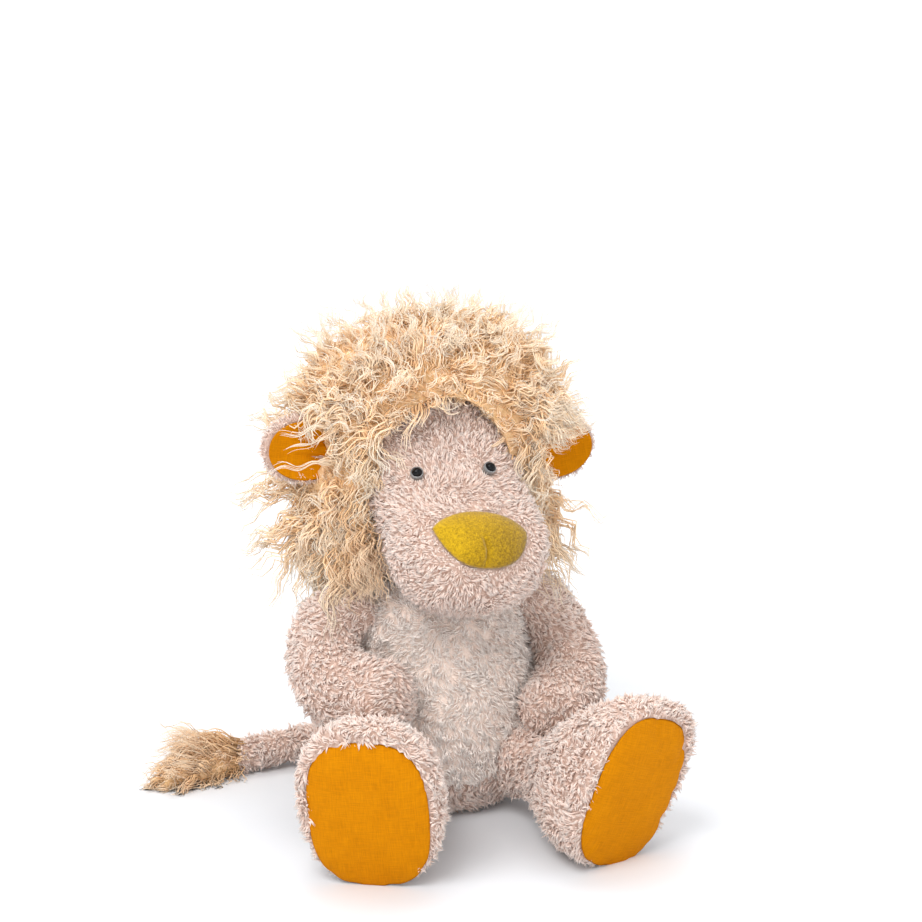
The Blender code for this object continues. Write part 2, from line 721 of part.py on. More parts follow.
def build_mane(head, pivot):
    mane = make_part("mane", mane_shape("mane"), mane_pile, pivot)
    room = make_cutter("mane_room", offset_mesh(head, "mane_room", SEAM_GAP))
    below = box_mesh("mane_hem", (-MANE_WIDTH, -MANE_WIDTH, 0.0), (MANE_WIDTH, MANE_WIDTH, MANE_BOTTOM))
    nape = ball_mesh("mane_nape", (0.0, TORSO_MIDDLE_Y, NECK_HEIGHT), NECK_RADIUS + OVERRUN)
    face = make_cutter("mane_face", mane_opening("mane_face"))
    cut(mane, room, face, make_cutter("mane_hem", below), make_cutter("mane_nape", nape))
    return mane


def ear_pad(name, inset, wall):
    """A flat round pad in the local XZ plane, its face towards local -Y."""
    rings = []
    for index in range(1, EAR_PAD_STEPS):
        angle = math.pi * index / EAR_PAD_STEPS
        spread = math.sin(angle) ** EAR_PAD_SHARE
        depth = wall / 2 * math.cos(angle)
        half_x = (EAR_WIDTH / 2 - inset) * spread
        half_z = (EAR_HEIGHT / 2 - inset) * spread
        rings.append(ring((0.0, depth, 0.0), (1, 0, 0), (0, 0, 1), half_x, half_z))
    return soft_form(name, (0.0, wall / 2, 0.0), rings, (0.0, -wall / 2, 0.0), EAR_SIDES)


def build_ear(side, head, mane, pivot):
    """A cupped ear: a plush back with a linen lining laid in its hollow."""
    sign = SIDES[side]
    turn = Matrix.Rotation(math.radians(-sign * EAR_LIFT_ANGLE), 4, "Y")
    middle = Vector((sign * (MANE_WIDTH / 2 - EAR_SINK), EAR_CENTRE_Y, EAR_CENTRE_Z - sign * EAR_RAISE))
    place = Matrix.Translation(middle) @ turn
    cup_centre = place @ Vector((0.0, EAR_CUP_DEPTH - EAR_WALL / 2 - EAR_CUP_RADIUS, 0.0))
    skull = make_cutter(side + "_ear_skull", offset_mesh(head, side + "_ear_skull", SEAM_GAP))

    def cup_cutter(name, radius):
        return make_cutter(side + name, ball_mesh(side + name, cup_centre, radius, HOLLOW_STEPS))

    back_mesh = ear_pad(side + "_ear_back", 0.0, EAR_WALL)
    back_mesh.transform(place)
    back = make_part(side + "_ear_back", back_mesh, plush, pivot)
    room_mesh = offset_mesh(back_mesh, side + "_ear_room", SEAM_GAP)
    room_mesh.transform(Matrix.Translation(pivot.matrix_world.translation))
    cut(back, cup_cutter("_ear_hollow", EAR_CUP_RADIUS + EAR_LINING_WALL + SEAM_GAP), skull)

    lining_mesh = ear_pad(side + "_ear_lining", EAR_HEM, EAR_BOWL_WALL)
    lining_mesh.transform(place)
    lining = make_part(side + "_ear_lining", lining_mesh, linen, pivot)
    combine(lining, cup_cutter("_lining_layer", EAR_CUP_RADIUS + EAR_LINING_WALL), "INTERSECT")
    cut(lining, cup_cutter("_lining_face", EAR_CUP_RADIUS), skull)

    bowl_mesh = ear_pad(side + "_ear_bowl", EAR_HEM - SEAM_GAP, EAR_BOWL_WALL + SEAM_GAP * 2)
    bowl_mesh.transform(place)
    bay_start = middle + Vector((sign * EAR_BAY_SHIFT, 0.0, 0.0))
    bay_end = bay_start + Vector((0.0, MANE_FRONT_Y - EAR_CENTRE_Y - OVERRUN, 0.0))
    bay_mesh = rod_mesh(side + "_ear_bay", bay_start, bay_end, EAR_BAY_RADIUS, BRACE_SIDES)
    cut(mane, make_cutter(side + "_ear_room", room_mesh), make_cutter(side + "_ear_bowl", bowl_mesh))
    cut(mane, make_cutter(side + "_ear_bay", bay_mesh))


# Arms
def arm_rows(side):
    sign = SIDES[side]
    rows = []
    for route, width in zip(ARM_ROUTE_SHARES[side], ARM_WIDTH_SHARES[side]):
        out, forward, down = (share * ARM_REACH for share in route)
        place = (sign * (SHOULDER_X + out), SHOULDER_Y - forward, SHOULDER_Z - down)
        rows.append((*place, width * ARM_RADIUS))
    return smooth_rows(rows, ARM_RINGS)


def path_rings(rows, first_up):
    """Round sections square to the path through rows of x, y, z and radius."""
    rings = []
    centres = [Vector(row[:3]) for row in rows]
    for index, row in enumerate(rows):
        before = centres[max(index - 1, 0)]
        after = centres[min(index + 1, len(rows) - 1)]
        along = (after - before).normalized()
        side = Vector(first_up).cross(along).normalized()
        rings.append(ring(centres[index], side, along.cross(side), row[3], row[3]))
    return rings


def capped(rings, first_length, last_length, steps=CAP_STEPS):
    """Add the rounded ends to a row of rings, and give the two poles."""
    def dome(base, direction, length):
        centre, side, up, half_side, half_up, half_down = base
        result = []
        for step in range(1, steps + 1):
            angle = math.pi / 2 * step / (steps + 1)
            shrink = math.cos(angle)
            place = centre + direction * length * math.sin(angle)
            result.append(ring(place, side, up, half_side * shrink, half_up * shrink, half_down * shrink))
        return result, centre + direction * length
    first_direction = -rings[0][1].cross(rings[0][2])
    last_direction = rings[-1][1].cross(rings[-1][2])
    start, first_pole = dome(rings[0], first_direction, first_length)
    end, last_pole = dome(rings[-1], last_direction, last_length)
    return first_pole, list(reversed(start)) + list(rings) + end, last_pole


def clearance_cutters(name, torso, leg, side, distance):
    """What presses an arm in: the torso and the leg, at each place that they have to the swung arm."""
    sign = SIDES[side]
    shoulder = Vector((sign * SHOULDER_X, SHOULDER_Y, SHOULDER_Z))
    hip = Vector((sign * HIP_X, HIP_Y, HIP_Z))
    hip_mesh = ball_mesh(name + "_hip", hip, HIP_RADIUS + SWIVEL_GAP + distance)
    tools = [make_cutter(name + "_hip", hip_mesh)]
    swing_axis = Vector((1, sign, 0))
    torso_room = offset_mesh(torso, name + "_torso", distance)
    torso_room.transform(Matrix.Translation(-shoulder))
    for angle in ARM_SWING_ANGLES:
        tool = make_cutter(name + "_torso", torso_room)
        turn = Matrix.Rotation(math.radians(angle), 4, swing_axis)
        tool.matrix_world = Matrix.Translation(shoulder) @ turn
        tools.append(tool)
    leg_room = offset_mesh(leg, name + "_leg", distance)
    leg_room.transform(Matrix.Translation(-hip))
    for angle in LEG_SWING_ANGLES:
        tool = make_cutter(name + "_leg", leg_room)
        tool.location = hip
        tool.rotation_euler = (0.0, 0.0, math.radians(sign * angle))
        tools.append(tool)
    return tools


def build_arm(side, pivot, torso, leg):
    sign = SIDES[side]
    name = side + "_arm"
    rings = path_rings(arm_rows(side), ARM_TWIST_SHARES)
    ends = capped(rings, ARM_RADIUS * ARM_WIDTH_SHARES[side][0], PAW_LENGTH)
    outer = soft_form(name + "_skin", *ends, ARM_SIDES)
    shoulder = Vector((sign * SHOULDER_X, SHOULDER_Y, SHOULDER_Z))
    inward = shoulder - Vector((sign * (ARM_RADIUS + OVERRUN), 0.0, 0.0))
    mouth_mesh = rod_mesh(name + "_opening", shoulder, inward, ARM_ROOT_OPENING_RADIUS, BRACE_SIDES)
    root = make_cutter(name + "_root", ball_mesh(name + "_root", shoulder, ARM_RADIUS))
    cavity = make_cutter(name + "_cavity", offset_mesh(outer, name + "_cavity", -LIMB_WALL))
    cut(cavity, *clearance_cutters(name + "_inside", torso, leg, side, ARM_ROOM + LIMB_WALL))
    skin = make_part(name + "_skin", outer.copy(), plush, pivot)
    cut(skin, *clearance_cutters(name + "_outside", torso, leg, side, ARM_ROOM))
    combine(skin, root, "UNION")
    cut(skin, cavity, make_cutter(name + "_opening", mouth_mesh))
    filling_mesh = offset_mesh(outer, name + "_stuffing", -LIMB_WALL - SEAM_GAP)
    filling = make_part(name + "_stuffing", filling_mesh, stuffing, pivot)
    cut(filling, *clearance_cutters(name + "_filling", torso, leg, side, ARM_ROOM + LIMB_WALL + SEAM_GAP))


# Legs
def leg_frame(side, growth):
    """The turn of a leg's section: full spread, and a turn, pitch and roll that grow towards the foot."""
    sign = SIDES[side]
    angle = LEG_SPREAD_ANGLES[side] + growth * FOOT_TURN_ANGLES[side]
    spread = Matrix.Rotation(math.radians(sign * angle), 3, "Z")
    pitch = Matrix.Rotation(math.radians(growth * FOOT_PITCH_ANGLE), 3, "X")
    roll = Matrix.Rotation(math.radians(sign * growth * FOOT_ROLL_ANGLES[side]), 3, "Y")
    return spread @ pitch @ roll


def foot_half_height(side):
    roll = math.radians(FOOT_ROLL_ANGLES[side])
    upright = math.hypot(FOOT_HEIGHT / 2 * math.cos(roll), FOOT_WIDTH / 2 * math.sin(roll))
    return upright * math.cos(math.radians(FOOT_PITCH_ANGLE))


def leg_rings(side):
    sign = SIDES[side]
    spread = Matrix.Rotation(math.radians(sign * LEG_SPREAD_ANGLES[side]), 3, "Z")
    hip = Vector((sign * HIP_X, HIP_Y, HIP_Z))
    foot_z = foot_half_height(side) - FLAT_DEPTH
    rings = []
    for place, growth in smooth_rows(LEG_STATION_SHARES, LEG_RINGS):
        turn_share = min(max(growth, 0.0), 1.0)
        frame = leg_frame(side, turn_share)
        centre = hip + spread @ Vector((0.0, -place * LEG_LENGTHS[side], turn_share * (foot_z - HIP_Z)))
        half_width = HIP_RADIUS + growth * (FOOT_WIDTH / 2 - HIP_RADIUS)
        half_height = HIP_RADIUS + growth * (FOOT_HEIGHT / 2 - HIP_RADIUS)
        across, up = frame @ Vector((1, 0, 0)), frame @ Vector((0, 0, 1))
        rings.append(ring(centre, across, up, half_width, half_height))
    return rings


def foot_end(rings):
    """Round the foot over into its flat end, and give the end's centre and direction."""
    centre, side, up, half_side, half_up, _ = rings[-1]
    direction = side.cross(up)
    end = []
    for turn_share in FOOT_EDGE_SHARES:
        angle = math.pi / 2 * turn_share
        inset = FOOT_EDGE * (1 - math.cos(angle))
        place = centre + direction * FOOT_EDGE * math.sin(angle)
        end.append(ring(place, side, up, half_side - inset, half_up - inset))
    return end, centre + direction * FOOT_EDGE, direction


def build_leg(side, pivot):
    sign = SIDES[side]
    rings = leg_rings(side)
    first_pole, domed, _ = capped(rings, rings[0][3], FOOT_EDGE)
    root = domed[:len(domed) - CAP_STEPS]
    end, end_centre, direction = foot_end(rings)
    name = side + "_leg_skin"
    outer = soft_form(name, first_pole, root + end, end_centre, LEG_SIDES, FOOT_FULLNESS_SHARE)
    cavity = make_cutter(side + "_leg_cavity", offset_mesh(outer, side + "_leg_cavity", -LIMB_WALL))
    filling_mesh = offset_mesh(outer, side + "_leg_stuffing", -LIMB_WALL - SEAM_GAP)

    hip = Vector((sign * HIP_X, HIP_Y, HIP_Z))
    ball = make_cutter(side + "_leg_root", ball_mesh(side + "_leg_root", hip, HIP_RADIUS))
    skin = make_part(side + "_leg_skin", outer.copy(), plush, pivot)
    combine(skin, ball, "UNION")
    make_part(side + "_leg_stuffing", filling_mesh, stuffing, pivot)
    sole_mesh, hole_mesh = sole_meshes(side, rings[-1], end_centre, direction)
    make_part(side + "_sole", sole_mesh, linen, pivot)
    cut(skin, cavity, make_cutter(side + "_sole_hole", hole_mesh), floor)
    return outer


def sole_meshes(side, section, end_centre, direction):
    """The crowned sole let into the end of a foot, and the hole that it fills."""
    _, across, up = section[:3]
    middle = end_centre - up * SOLE_DROP
    back = middle - direction * (LIMB_WALL - SEAM_GAP)
    rows = []
    for spread_share, depth_share in SOLE_RING_SHARES:
        depth = depth_share * SOLE_WALL + max(depth_share - 1, 0.0) * SOLE_CROWN
        half_width, half_height = spread_share * SOLE_WIDTH / 2, spread_share * SOLE_HEIGHT / 2
        rows.append(ring(back + direction * depth, across, up, half_width, half_height))
    front = back + direction * (SOLE_WALL + SOLE_CROWN + SOLE_WALL * SOLE_TIP_SHARE)
    sole = soft_form(side + "_sole", back, rows, front, SOLE_SIDES, FOOT_FULLNESS_SHARE)
    half_sizes = SOLE_WIDTH / 2 + SEAM_GAP, SOLE_HEIGHT / 2 + SEAM_GAP
    name = side + "_sole_hole"
    hole = oval_mesh(name, section, middle, OVERRUN, *half_sizes, SOLE_SIDES, FOOT_FULLNESS_SHARE)
    return sole, hole


# Tail
def tail_rows():
    rows = []
    for route in TAIL_ROUTE_SHARES:
        right, back, height = (share * TAIL_LENGTH for share in route)
        rows.append((-right, TAIL_ROOT_Y + back, height, TAIL_RADIUS))
    return smooth_rows(rows, TAIL_RINGS)


def build_tail(pivot):
    rows = tail_rows()
    rings = path_rings(rows, (0, 0, 1))
    outer = soft_form("tail_skin", *capped(rings, TAIL_RADIUS, TAIL_RADIUS * TAIL_CAP_SHARE), TAIL_SIDES)
    root_place = Vector((0.0, TAIL_ROOT_Y, TAIL_ROOT_Z))
    root = make_cutter("tail_root", ball_mesh("tail_root", root_place, TAIL_ROOT_RADIUS, TAIL_ROOT_STEPS))
    cavity = make_cutter("tail_cavity", offset_mesh(outer, "tail_cavity", -TAIL_WALL))
    skin = make_part("tail_skin", outer.copy(), plush, pivot)
    filling_mesh = offset_mesh(outer, "tail_stuffing", -TAIL_WALL - SEAM_GAP)
    filling = make_part("tail_stuffing", filling_mesh, stuffing, pivot)

    end = Vector(rows[-1][:3])
    along = (end - Vector(rows[-2][:3])).normalized()
    tuft = make_part("tail_tuft", tuft_shape("tail_tuft", end, along), mane_pile, pivot)
    mouth_start, mouth_end = end - along * TAIL_RADIUS / 2, end + along * TAIL_RADIUS
    mouth_mesh = rod_mesh("tail_end", mouth_start, mouth_end, TAIL_RADIUS - TAIL_WALL, SHANK_SIDES)
    hem_start = end + along * (TUFT_COLLAR_LENGTH - SEAM_GAP)
    hem_mesh = rod_mesh("tail_hem", hem_start, end + along * OVERRUN, TAIL_RADIUS * 2, SHANK_SIDES)
    combine(skin, root, "UNION")
    cut(skin, cavity, make_cutter("tail_end", mouth_mesh), floor)
    cut(filling, make_cutter("tail_hem", hem_mesh))
    cut(tuft, make_cutter("tail_skin_room", offset_mesh(outer, "tail_skin_room", SEAM_GAP)), floor)


def tuft_shape(name, end, along):
    """Gathered locks that spring from the tail's end and lie down on the ground."""
    flat = Vector((along.x, along.y, 0.0)).normalized()
    across = Vector((0, 0, 1)).cross(flat)
    start = end + along * TUFT_COLLAR_LENGTH
    forward = Vector((0, -1, 0))
    rings = []
    for place, girth in TUFT_GIRTH_SHARES:
        centre = start + flat * TUFT_LENGTH * place + forward * TUFT_BEND * place ** 2
        half = girth * TUFT_RADIUS
        centre.z = max(half * TUFT_FLAT_SHARE, start.z * (1 - place)) - FLAT_DEPTH
        rings.append(ring(centre, across, (0, 0, 1), half, half * TUFT_FLAT_SHARE))
    tip = start + flat * TUFT_LENGTH + forward * TUFT_BEND
    tip.z = TUFT_RADIUS * TUFT_TIP_SHARE
    return soft_form(name, start, rings, tip, TUFT_SIDES)


# The scene is emptied, then the lion is built from the seat up
for old in list(bpy.data.objects):
    bpy.data.objects.remove(old)
parts = make_collection("plush_lion")
cutters = make_collection("cutters")

plush = make_finish("plush", (0.60, 0.47, 0.40), 0.95)
bib_plush = make_finish("bib_plush", (0.77, 0.69, 0.62), 0.95)
mane_pile = make_finish("mane_pile", (0.66, 0.45, 0.26), 0.85)
linen = make_finish("linen", (0.83, 0.33, 0.01), 0.80)
felt = make_finish("felt", (0.50, 0.32, 0.03), 0.95)
stuffing = make_finish("stuffing", (0.90, 0.90, 0.88), 0.95)
pouch_cloth = make_finish("pouch_cloth", (0.80, 0.80, 0.76), 0.85)
bead_black = make_finish("bead_black", (0.01, 0.01, 0.01), 0.08)
clear_glass = make_finish("clear_glass", (0.75, 0.78, 0.80), 0.05, alpha=0.35)
washer_finish = make_finish("washer", (0.85, 0.85, 0.83), 0.45)
thread_finish = make_finish("thread", (0.32, 0.22, 0.03), 0.80)

ground_low = (-GROUND_REACH, -GROUND_REACH, -GROUND_DEPTH)
floor = make_cutter("floor", box_mesh("floor", ground_low, (GROUND_REACH, GROUND_REACH, 0.0)))

torso_mesh, body_skin, belly_bib, body_filling = build_torso()

neck_place = Vector((0.0, TORSO_MIDDLE_Y, NECK_HEIGHT))
neck_pivot = make_pivot("neck_turn_pivot", neck_place)
head_pivot = make_pivot("head_nod_pivot", neck_place, neck_pivot)
neck_ball = ball_mesh("neck_stuffing", neck_place, NECK_RADIUS - COVER_WALL - SWIVEL_GAP)
make_part("neck_stuffing", neck_ball, stuffing, neck_pivot)
head_mesh, head_skin = build_head(head_pivot)
mane_part = build_mane(head_mesh, head_pivot)
for side_name in SIDES:
    build_ear(side_name, head_mesh, mane_part, head_pivot)

limb_roots = []
for side_name, side_sign in SIDES.items():
    hip_place = Vector((side_sign * HIP_X, HIP_Y, HIP_Z))
    leg_mesh = build_leg(side_name, make_pivot(side_name + "_hip_pivot", hip_place))
    limb_roots.append((side_name + "_hip", hip_place, HIP_RADIUS))
    shoulder_place = Vector((side_sign * SHOULDER_X, SHOULDER_Y, SHOULDER_Z))
    build_arm(side_name, make_pivot(side_name + "_shoulder_pivot", shoulder_place), torso_mesh, leg_mesh)
    limb_roots.append((side_name + "_shoulder", shoulder_place, ARM_RADIUS))
tail_root = Vector((0.0, TAIL_ROOT_Y, TAIL_ROOT_Z))
build_tail(make_pivot("tail_pivot", tail_root))
limb_roots.append(("tail_root", tail_root, TAIL_ROOT_RADIUS))

for root_name, root_place, root_radius in limb_roots:
    socket_mesh = ball_mesh(root_name + "_socket", root_place, root_radius + SWIVEL_GAP)
    socket = make_cutter(root_name + "_socket", socket_mesh)
    cut(body_skin, socket)
    cut(belly_bib, socket)
    cut(body_filling, socket)
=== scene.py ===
import logging
import math
from dataclasses import dataclass, field
from enum import Enum
from typing import Callable

import bmesh
import bpy
import numpy as np
from mathutils import Matrix, Vector
from mathutils.bvhtree import BVHTree
from mathutils.kdtree import KDTree


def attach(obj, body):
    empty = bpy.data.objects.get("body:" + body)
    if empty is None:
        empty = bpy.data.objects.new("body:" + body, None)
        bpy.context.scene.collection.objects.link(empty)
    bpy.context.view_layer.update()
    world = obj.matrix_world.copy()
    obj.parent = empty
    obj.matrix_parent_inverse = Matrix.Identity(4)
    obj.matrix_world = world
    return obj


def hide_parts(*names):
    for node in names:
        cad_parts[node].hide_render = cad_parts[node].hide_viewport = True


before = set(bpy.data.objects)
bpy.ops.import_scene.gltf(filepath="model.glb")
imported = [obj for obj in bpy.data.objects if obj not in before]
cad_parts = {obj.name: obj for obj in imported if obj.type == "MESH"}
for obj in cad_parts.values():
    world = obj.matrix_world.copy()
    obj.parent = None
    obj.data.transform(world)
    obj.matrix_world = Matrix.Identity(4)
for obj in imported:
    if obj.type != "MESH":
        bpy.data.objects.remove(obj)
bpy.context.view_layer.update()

LOG = logging.getLogger("plush_lion")
Colour = tuple[float, float, float]
Field = Callable[[np.ndarray, np.ndarray], np.ndarray]
FLOOR_CLEARANCE = 0.0004
HIGHEST_HAIR = 0.381
HAIR_BOX = ((-0.2180, -0.2150, -1.0), (0.1470, 0.1330, 1.0))
SHORTEST_FIT = 0.2
MOST_TRIANGLES = 190000


class Side(Enum):
    """The lion's own sides, with the sign of X on each."""

    RIGHT = -1.0
    LEFT = 1.0

    @property
    def word(self) -> str:
        """The side as a word in a piece's name."""
        return self.name.lower()


class Weave(Enum):
    """How a cloth without pile is made."""

    LINEN = "linen"
    FELT = "felt"


# Shader graphs
class Wire:
    """A socket whose arithmetic adds Math nodes."""

    def __init__(self, graph: "Graph", socket: bpy.types.NodeSocket) -> None:
        """Keep the socket and the graph that it is in."""
        self.graph = graph
        self.socket = socket

    def _maths(self, operation: str, *values: object) -> "Wire":
        """Add one Math node over the given values."""
        node = self.graph.add("ShaderNodeMath", {"operation": operation}, dict(enumerate(values)))
        return Wire(self.graph, node.outputs[0])

    def __add__(self, other: object) -> "Wire":
        """Add."""
        return self._maths("ADD", self, other)

    __radd__ = __add__

    def __sub__(self, other: object) -> "Wire":
        """Subtract."""
        return self._maths("SUBTRACT", self, other)

    def __rsub__(self, other: object) -> "Wire":
        """Subtract from a number."""
        return self._maths("SUBTRACT", other, self)

    def __mul__(self, other: object) -> "Wire":
        """Multiply."""
        return self._maths("MULTIPLY", self, other)

    __rmul__ = __mul__

    def __pow__(self, other: object) -> "Wire":
        """Raise to a power."""
        return self._maths("POWER", self, other)

    def sine(self) -> "Wire":
        """The sine, in radians."""
        return self._maths("SINE", self)

    def larger(self, other: object) -> "Wire":
        """The larger of the two."""
        return self._maths("MAXIMUM", self, other)

    def size(self) -> "Wire":
        """The absolute value."""
        return self._maths("ABSOLUTE", self)


class Graph:
    """A material's node tree with its Principled shader."""

    def __init__(self, name: str) -> None:
        """Make the material.

        Args:
            name: The finish's name.
        """
        self.material = bpy.data.materials.new(name)
        self.material.use_nodes = True
        self.tree = self.material.node_tree
        self.shader = self.tree.nodes["Principled BSDF"]

    def add(self, kind: str, settings: dict | None = None, values: dict | None = None) -> bpy.types.Node:
        """Add any node.

        Args:
            kind: The node's type.
            settings: Properties that are set first; "stops" gives a ramp's places and colours.
            values: A number, colour or Wire for each input, by name or index.

        Returns:
            The node.
        """
        node = self.tree.nodes.new(kind)
        for key, value in (settings or {}).items():
            if key == "stops":
                ramp = node.color_ramp
                while len(ramp.elements) < len(value):
                    ramp.elements.new(0.5)
                for element, (place, colour) in zip(ramp.elements, value):
                    element.position = place
                    element.color = (*colour, 1.0)
            else:
                setattr(node, key, value)
        for key, value in (values or {}).items():
            self.feed(node.inputs[key], value)
        return node

    def feed(self, target: bpy.types.NodeSocket, value: object) -> None:
        """Link a wire or set a value on an input.

        Args:
            target: The input socket.
            value: What it takes.
        """
        if isinstance(value, Wire):
            self.tree.links.new(value.socket, target)
        elif isinstance(value, tuple) and len(value) == 3 and target.type == "RGBA":
            target.default_value = (*value, 1.0)
        else:
            target.default_value = value

    def wire(self, node: bpy.types.Node, output: str | int = 0) -> Wire:
        """One output of a node."""
        return Wire(self, node.outputs[output])

    def attribute(self, name: str) -> Wire:
        """A float attribute of the piece."""
        return self.wire(self.add("ShaderNodeAttribute", {"attribute_name": name}), "Fac")

    def place(self, scale: tuple[float, float, float] = (1.0, 1.0, 1.0)) -> Wire:
        """Object coordinates, scaled."""
        coordinates = self.wire(self.add("ShaderNodeTexCoord"), "Object")
        return self.wire(self.add("ShaderNodeMapping", None, {"Vector": coordinates, "Scale": scale}))

    def cloth_place(self, scale: tuple[float, float, float] = (1.0, 1.0, 1.0)) -> Wire:
        """The piece's own UV map, scaled."""
        coordinates = self.wire(self.add("ShaderNodeTexCoord"), "UV")
        return self.wire(self.add("ShaderNodeMapping", None, {"Vector": coordinates, "Scale": scale}))

    def noise(self, place: Wire, scale: float, detail: float = 3.0, roughness: float = 0.5) -> Wire:
        """Noise from 0 to 1.

        Args:
            place: The coordinates.
            scale: Its scale.
            detail: Its octaves.
            roughness: How strong the finer octaves are.

        Returns:
            The noise's factor.
        """
        values = {"Vector": place, "Scale": scale, "Detail": detail, "Roughness": roughness}
        return self.wire(self.add("ShaderNodeTexNoise", None, values))

    def mix(self, share: object, first: object, second: object) -> Wire:
        """A mix of two colours."""
        node = self.add("ShaderNodeMix", {"data_type": "RGBA"}, {0: share, 6: first, 7: second})
        return Wire(self, node.outputs[2])

    def shade(self, colour: object, share: object) -> Wire:
        """A colour times a grey level."""
        grey = self.add("ShaderNodeCombineColor", None, {0: share, 1: share, 2: share})
        values = {0: 1.0, 6: colour, 7: self.wire(grey)}
        node = self.add("ShaderNodeMix", {"data_type": "RGBA", "blend_type": "MULTIPLY"}, values)
        return Wire(self, node.outputs[2])

    def ramp(self, value: Wire, *stops: tuple[float, Colour]) -> Wire:
        """A colour ramp over a value."""
        return self.wire(self.add("ShaderNodeValToRGB", {"stops": stops}, {0: value}))

    def bump(self, height: Wire, distance: float, strength: float = 1.0) -> None:
        """Feed the shader's Normal from a height."""
        values = {"Height": height, "Distance": distance, "Strength": strength}
        self.feed(self.shader.inputs["Normal"], self.wire(self.add("ShaderNodeBump", None, values)))

    def settle(self, **values: object) -> bpy.types.Material:
        """Set the shader's own sockets, with _ for a space, and give the material."""
        for key, value in values.items():
            self.feed(self.shader.inputs[key.replace("_", " ")], value)
        return self.material


@dataclass(frozen=True)
class PileFinish:
    """Strands of pile: darker at the root, which is painted shade deep in the pile, paler at the tip, in patches of two
    tints.
    """

    name: str
    root: Colour
    body: Colour
    tip: Colour
    tint: Colour
    patch_scale: float = 30.0
    tone_spread: float = 0.25
    roughness: float = 0.8
    sheen: float = 0.25

    def make(self) -> bpy.types.Material:
        """Build the material.

        Returns:
            The finish for strands that carry the attributes along and tone.
        """
        graph = Graph(self.name)
        along = graph.attribute("along")
        tone = graph.attribute("tone")
        # The darker root colour is painted shade, where the strands shade each other deep in the pile.
        shaft = graph.ramp(along, (0.0, self.root), (0.35, self.body), (1.0, self.tip))
        patches = graph.noise(graph.place(), self.patch_scale, 2.0)
        tinted = graph.mix(patches ** 2.0 * tone, shaft, self.tint)
        level = tone * self.tone_spread + (1.0 - self.tone_spread / 2)
        colour = graph.shade(tinted, level)
        return graph.settle(Base_Color=colour, Roughness=self.roughness, Sheen_Weight=self.sheen,
                            Sheen_Roughness=0.6, Specular_IOR_Level=0.2)


@dataclass(frozen=True)
class GroundFinish:
    """The knitted ground that a pile stands on, in the shade between its strands."""

    name: str
    dark: Colour
    light: Colour
    scale: float = 420.0

    def make(self) -> bpy.types.Material:
        """Build the material."""
        graph = Graph(self.name)
        place = graph.place()
        curls = graph.noise(place, self.scale, 4.0, 0.65)
        patches = graph.noise(place, 28.0, 2.0)
        colour = graph.shade(graph.ramp(curls, (0.3, self.dark), (0.7, self.light)), patches * 0.3 + 0.85)
        graph.bump(curls, 0.0015, 0.8)
        return graph.settle(Base_Color=colour, Roughness=0.95, Sheen_Weight=0.2, Specular_IOR_Level=0.1)


@dataclass(frozen=True)
class ClothFinish:
    """A cloth without pile: woven linen or pressed felt."""

    name: str
    weave: Weave
    dark: Colour
    body: Colour
    light: Colour
    pitch: float = 0.0009

    def make(self) -> bpy.types.Material:
        """Build the material.

        Returns:
            The finish, on the piece's UV map in metres for linen, and on Object coordinates for felt.
        """
        graph = Graph(self.name)
        if self.weave is Weave.LINEN:
            along = graph.noise(graph.cloth_place((90.0, 1400.0, 1.0)), 1.0, 3.0, 0.6)
            across = graph.noise(graph.cloth_place((1400.0, 90.0, 1.0)), 1.0, 3.0, 0.6)
            split = graph.add("ShaderNodeSeparateXYZ", None, {0: graph.cloth_place()})
            turn = math.pi / self.pitch
            warp = (graph.wire(split, 0) * turn + along * 1.5).sine()
            weft = (graph.wire(split, 1) * turn + across * 1.5).sine()
            height = (warp * weft).size() * 0.6 + along * 0.5 + across * 0.5
            shade = along * 0.5 + across * 0.5
            cloud = graph.noise(graph.place(), 45.0, 3.0)
            colour = graph.ramp(shade * 0.85 + cloud * 0.15, (0.36, self.dark), (0.50, self.body), (0.66, self.light))
            graph.bump(height, 0.0004, 0.7)
            return graph.settle(Base_Color=colour, Roughness=0.9, Sheen_Weight=0.0, Specular_IOR_Level=0.08)
        place = graph.place()
        mottle = graph.noise(place, 520.0, 5.0, 0.7)
        cloud = graph.noise(place, 30.0, 3.0)
        fuzz = graph.noise(place, 1500.0, 4.0, 0.7)
        split = graph.add("ShaderNodeSeparateXYZ", None, {0: place})
        # Painted light and shade: the felt is lighter towards -X and upwards and darker towards +X and downwards, as if
        # light falls on the nose's bulge.
        fall = graph.wire(split, 0) * -1.8 + (graph.wire(split, 2) - 0.215) * 1.2
        mixed = mottle * 0.35 + cloud * 0.15 + fuzz * 0.50 + fall
        colour = graph.ramp(mixed, (0.41, self.dark), (0.50, self.body), (0.59, self.light))
        graph.bump(mottle * 0.5 + fuzz * 0.5, 0.0008, 0.8)
        return graph.settle(Base_Color=colour, Roughness=0.95, Sheen_Weight=0.3, Specular_IOR_Level=0.1)


@dataclass(frozen=True)
class SmoothFinish:
    """A plain hard finish with faint smears: bead, clear ring, nylon or thread."""

    name: str
    colour: Colour
    second: Colour
    roughness: float
    transmission: float = 0.0
    coat: float = 0.0
    shine: float = 0.5
    scale: float = 600.0

    def make(self) -> bpy.types.Material:
        """Build the material."""
        graph = Graph(self.name)
        smear = graph.noise(graph.place(), self.scale, 3.0)
        colour = graph.mix(smear, self.colour, self.second)
        return graph.settle(Base_Color=colour, Roughness=smear * 0.08 + self.roughness, Coat_Weight=self.coat,
                            Transmission_Weight=self.transmission, IOR=1.49, Specular_IOR_Level=self.shine)


# Soft forms
@dataclass(frozen=True)
class Section:
    """One section of a soft form, with an upper and a lower half."""

    centre: Vector
    side: Vector
    up: Vector
    half_side: float
    half_up: float
    half_down: float

    @classmethod
    def at(cls, centre: object, side: object, up: object, half_side: float, half_up: float,
           half_down: float | None = None) -> "Section":
        """Make a section from plain tuples."""
        lower = half_up if half_down is None else half_down
        return cls(Vector(centre), Vector(side), Vector(up), half_side, half_up, lower)


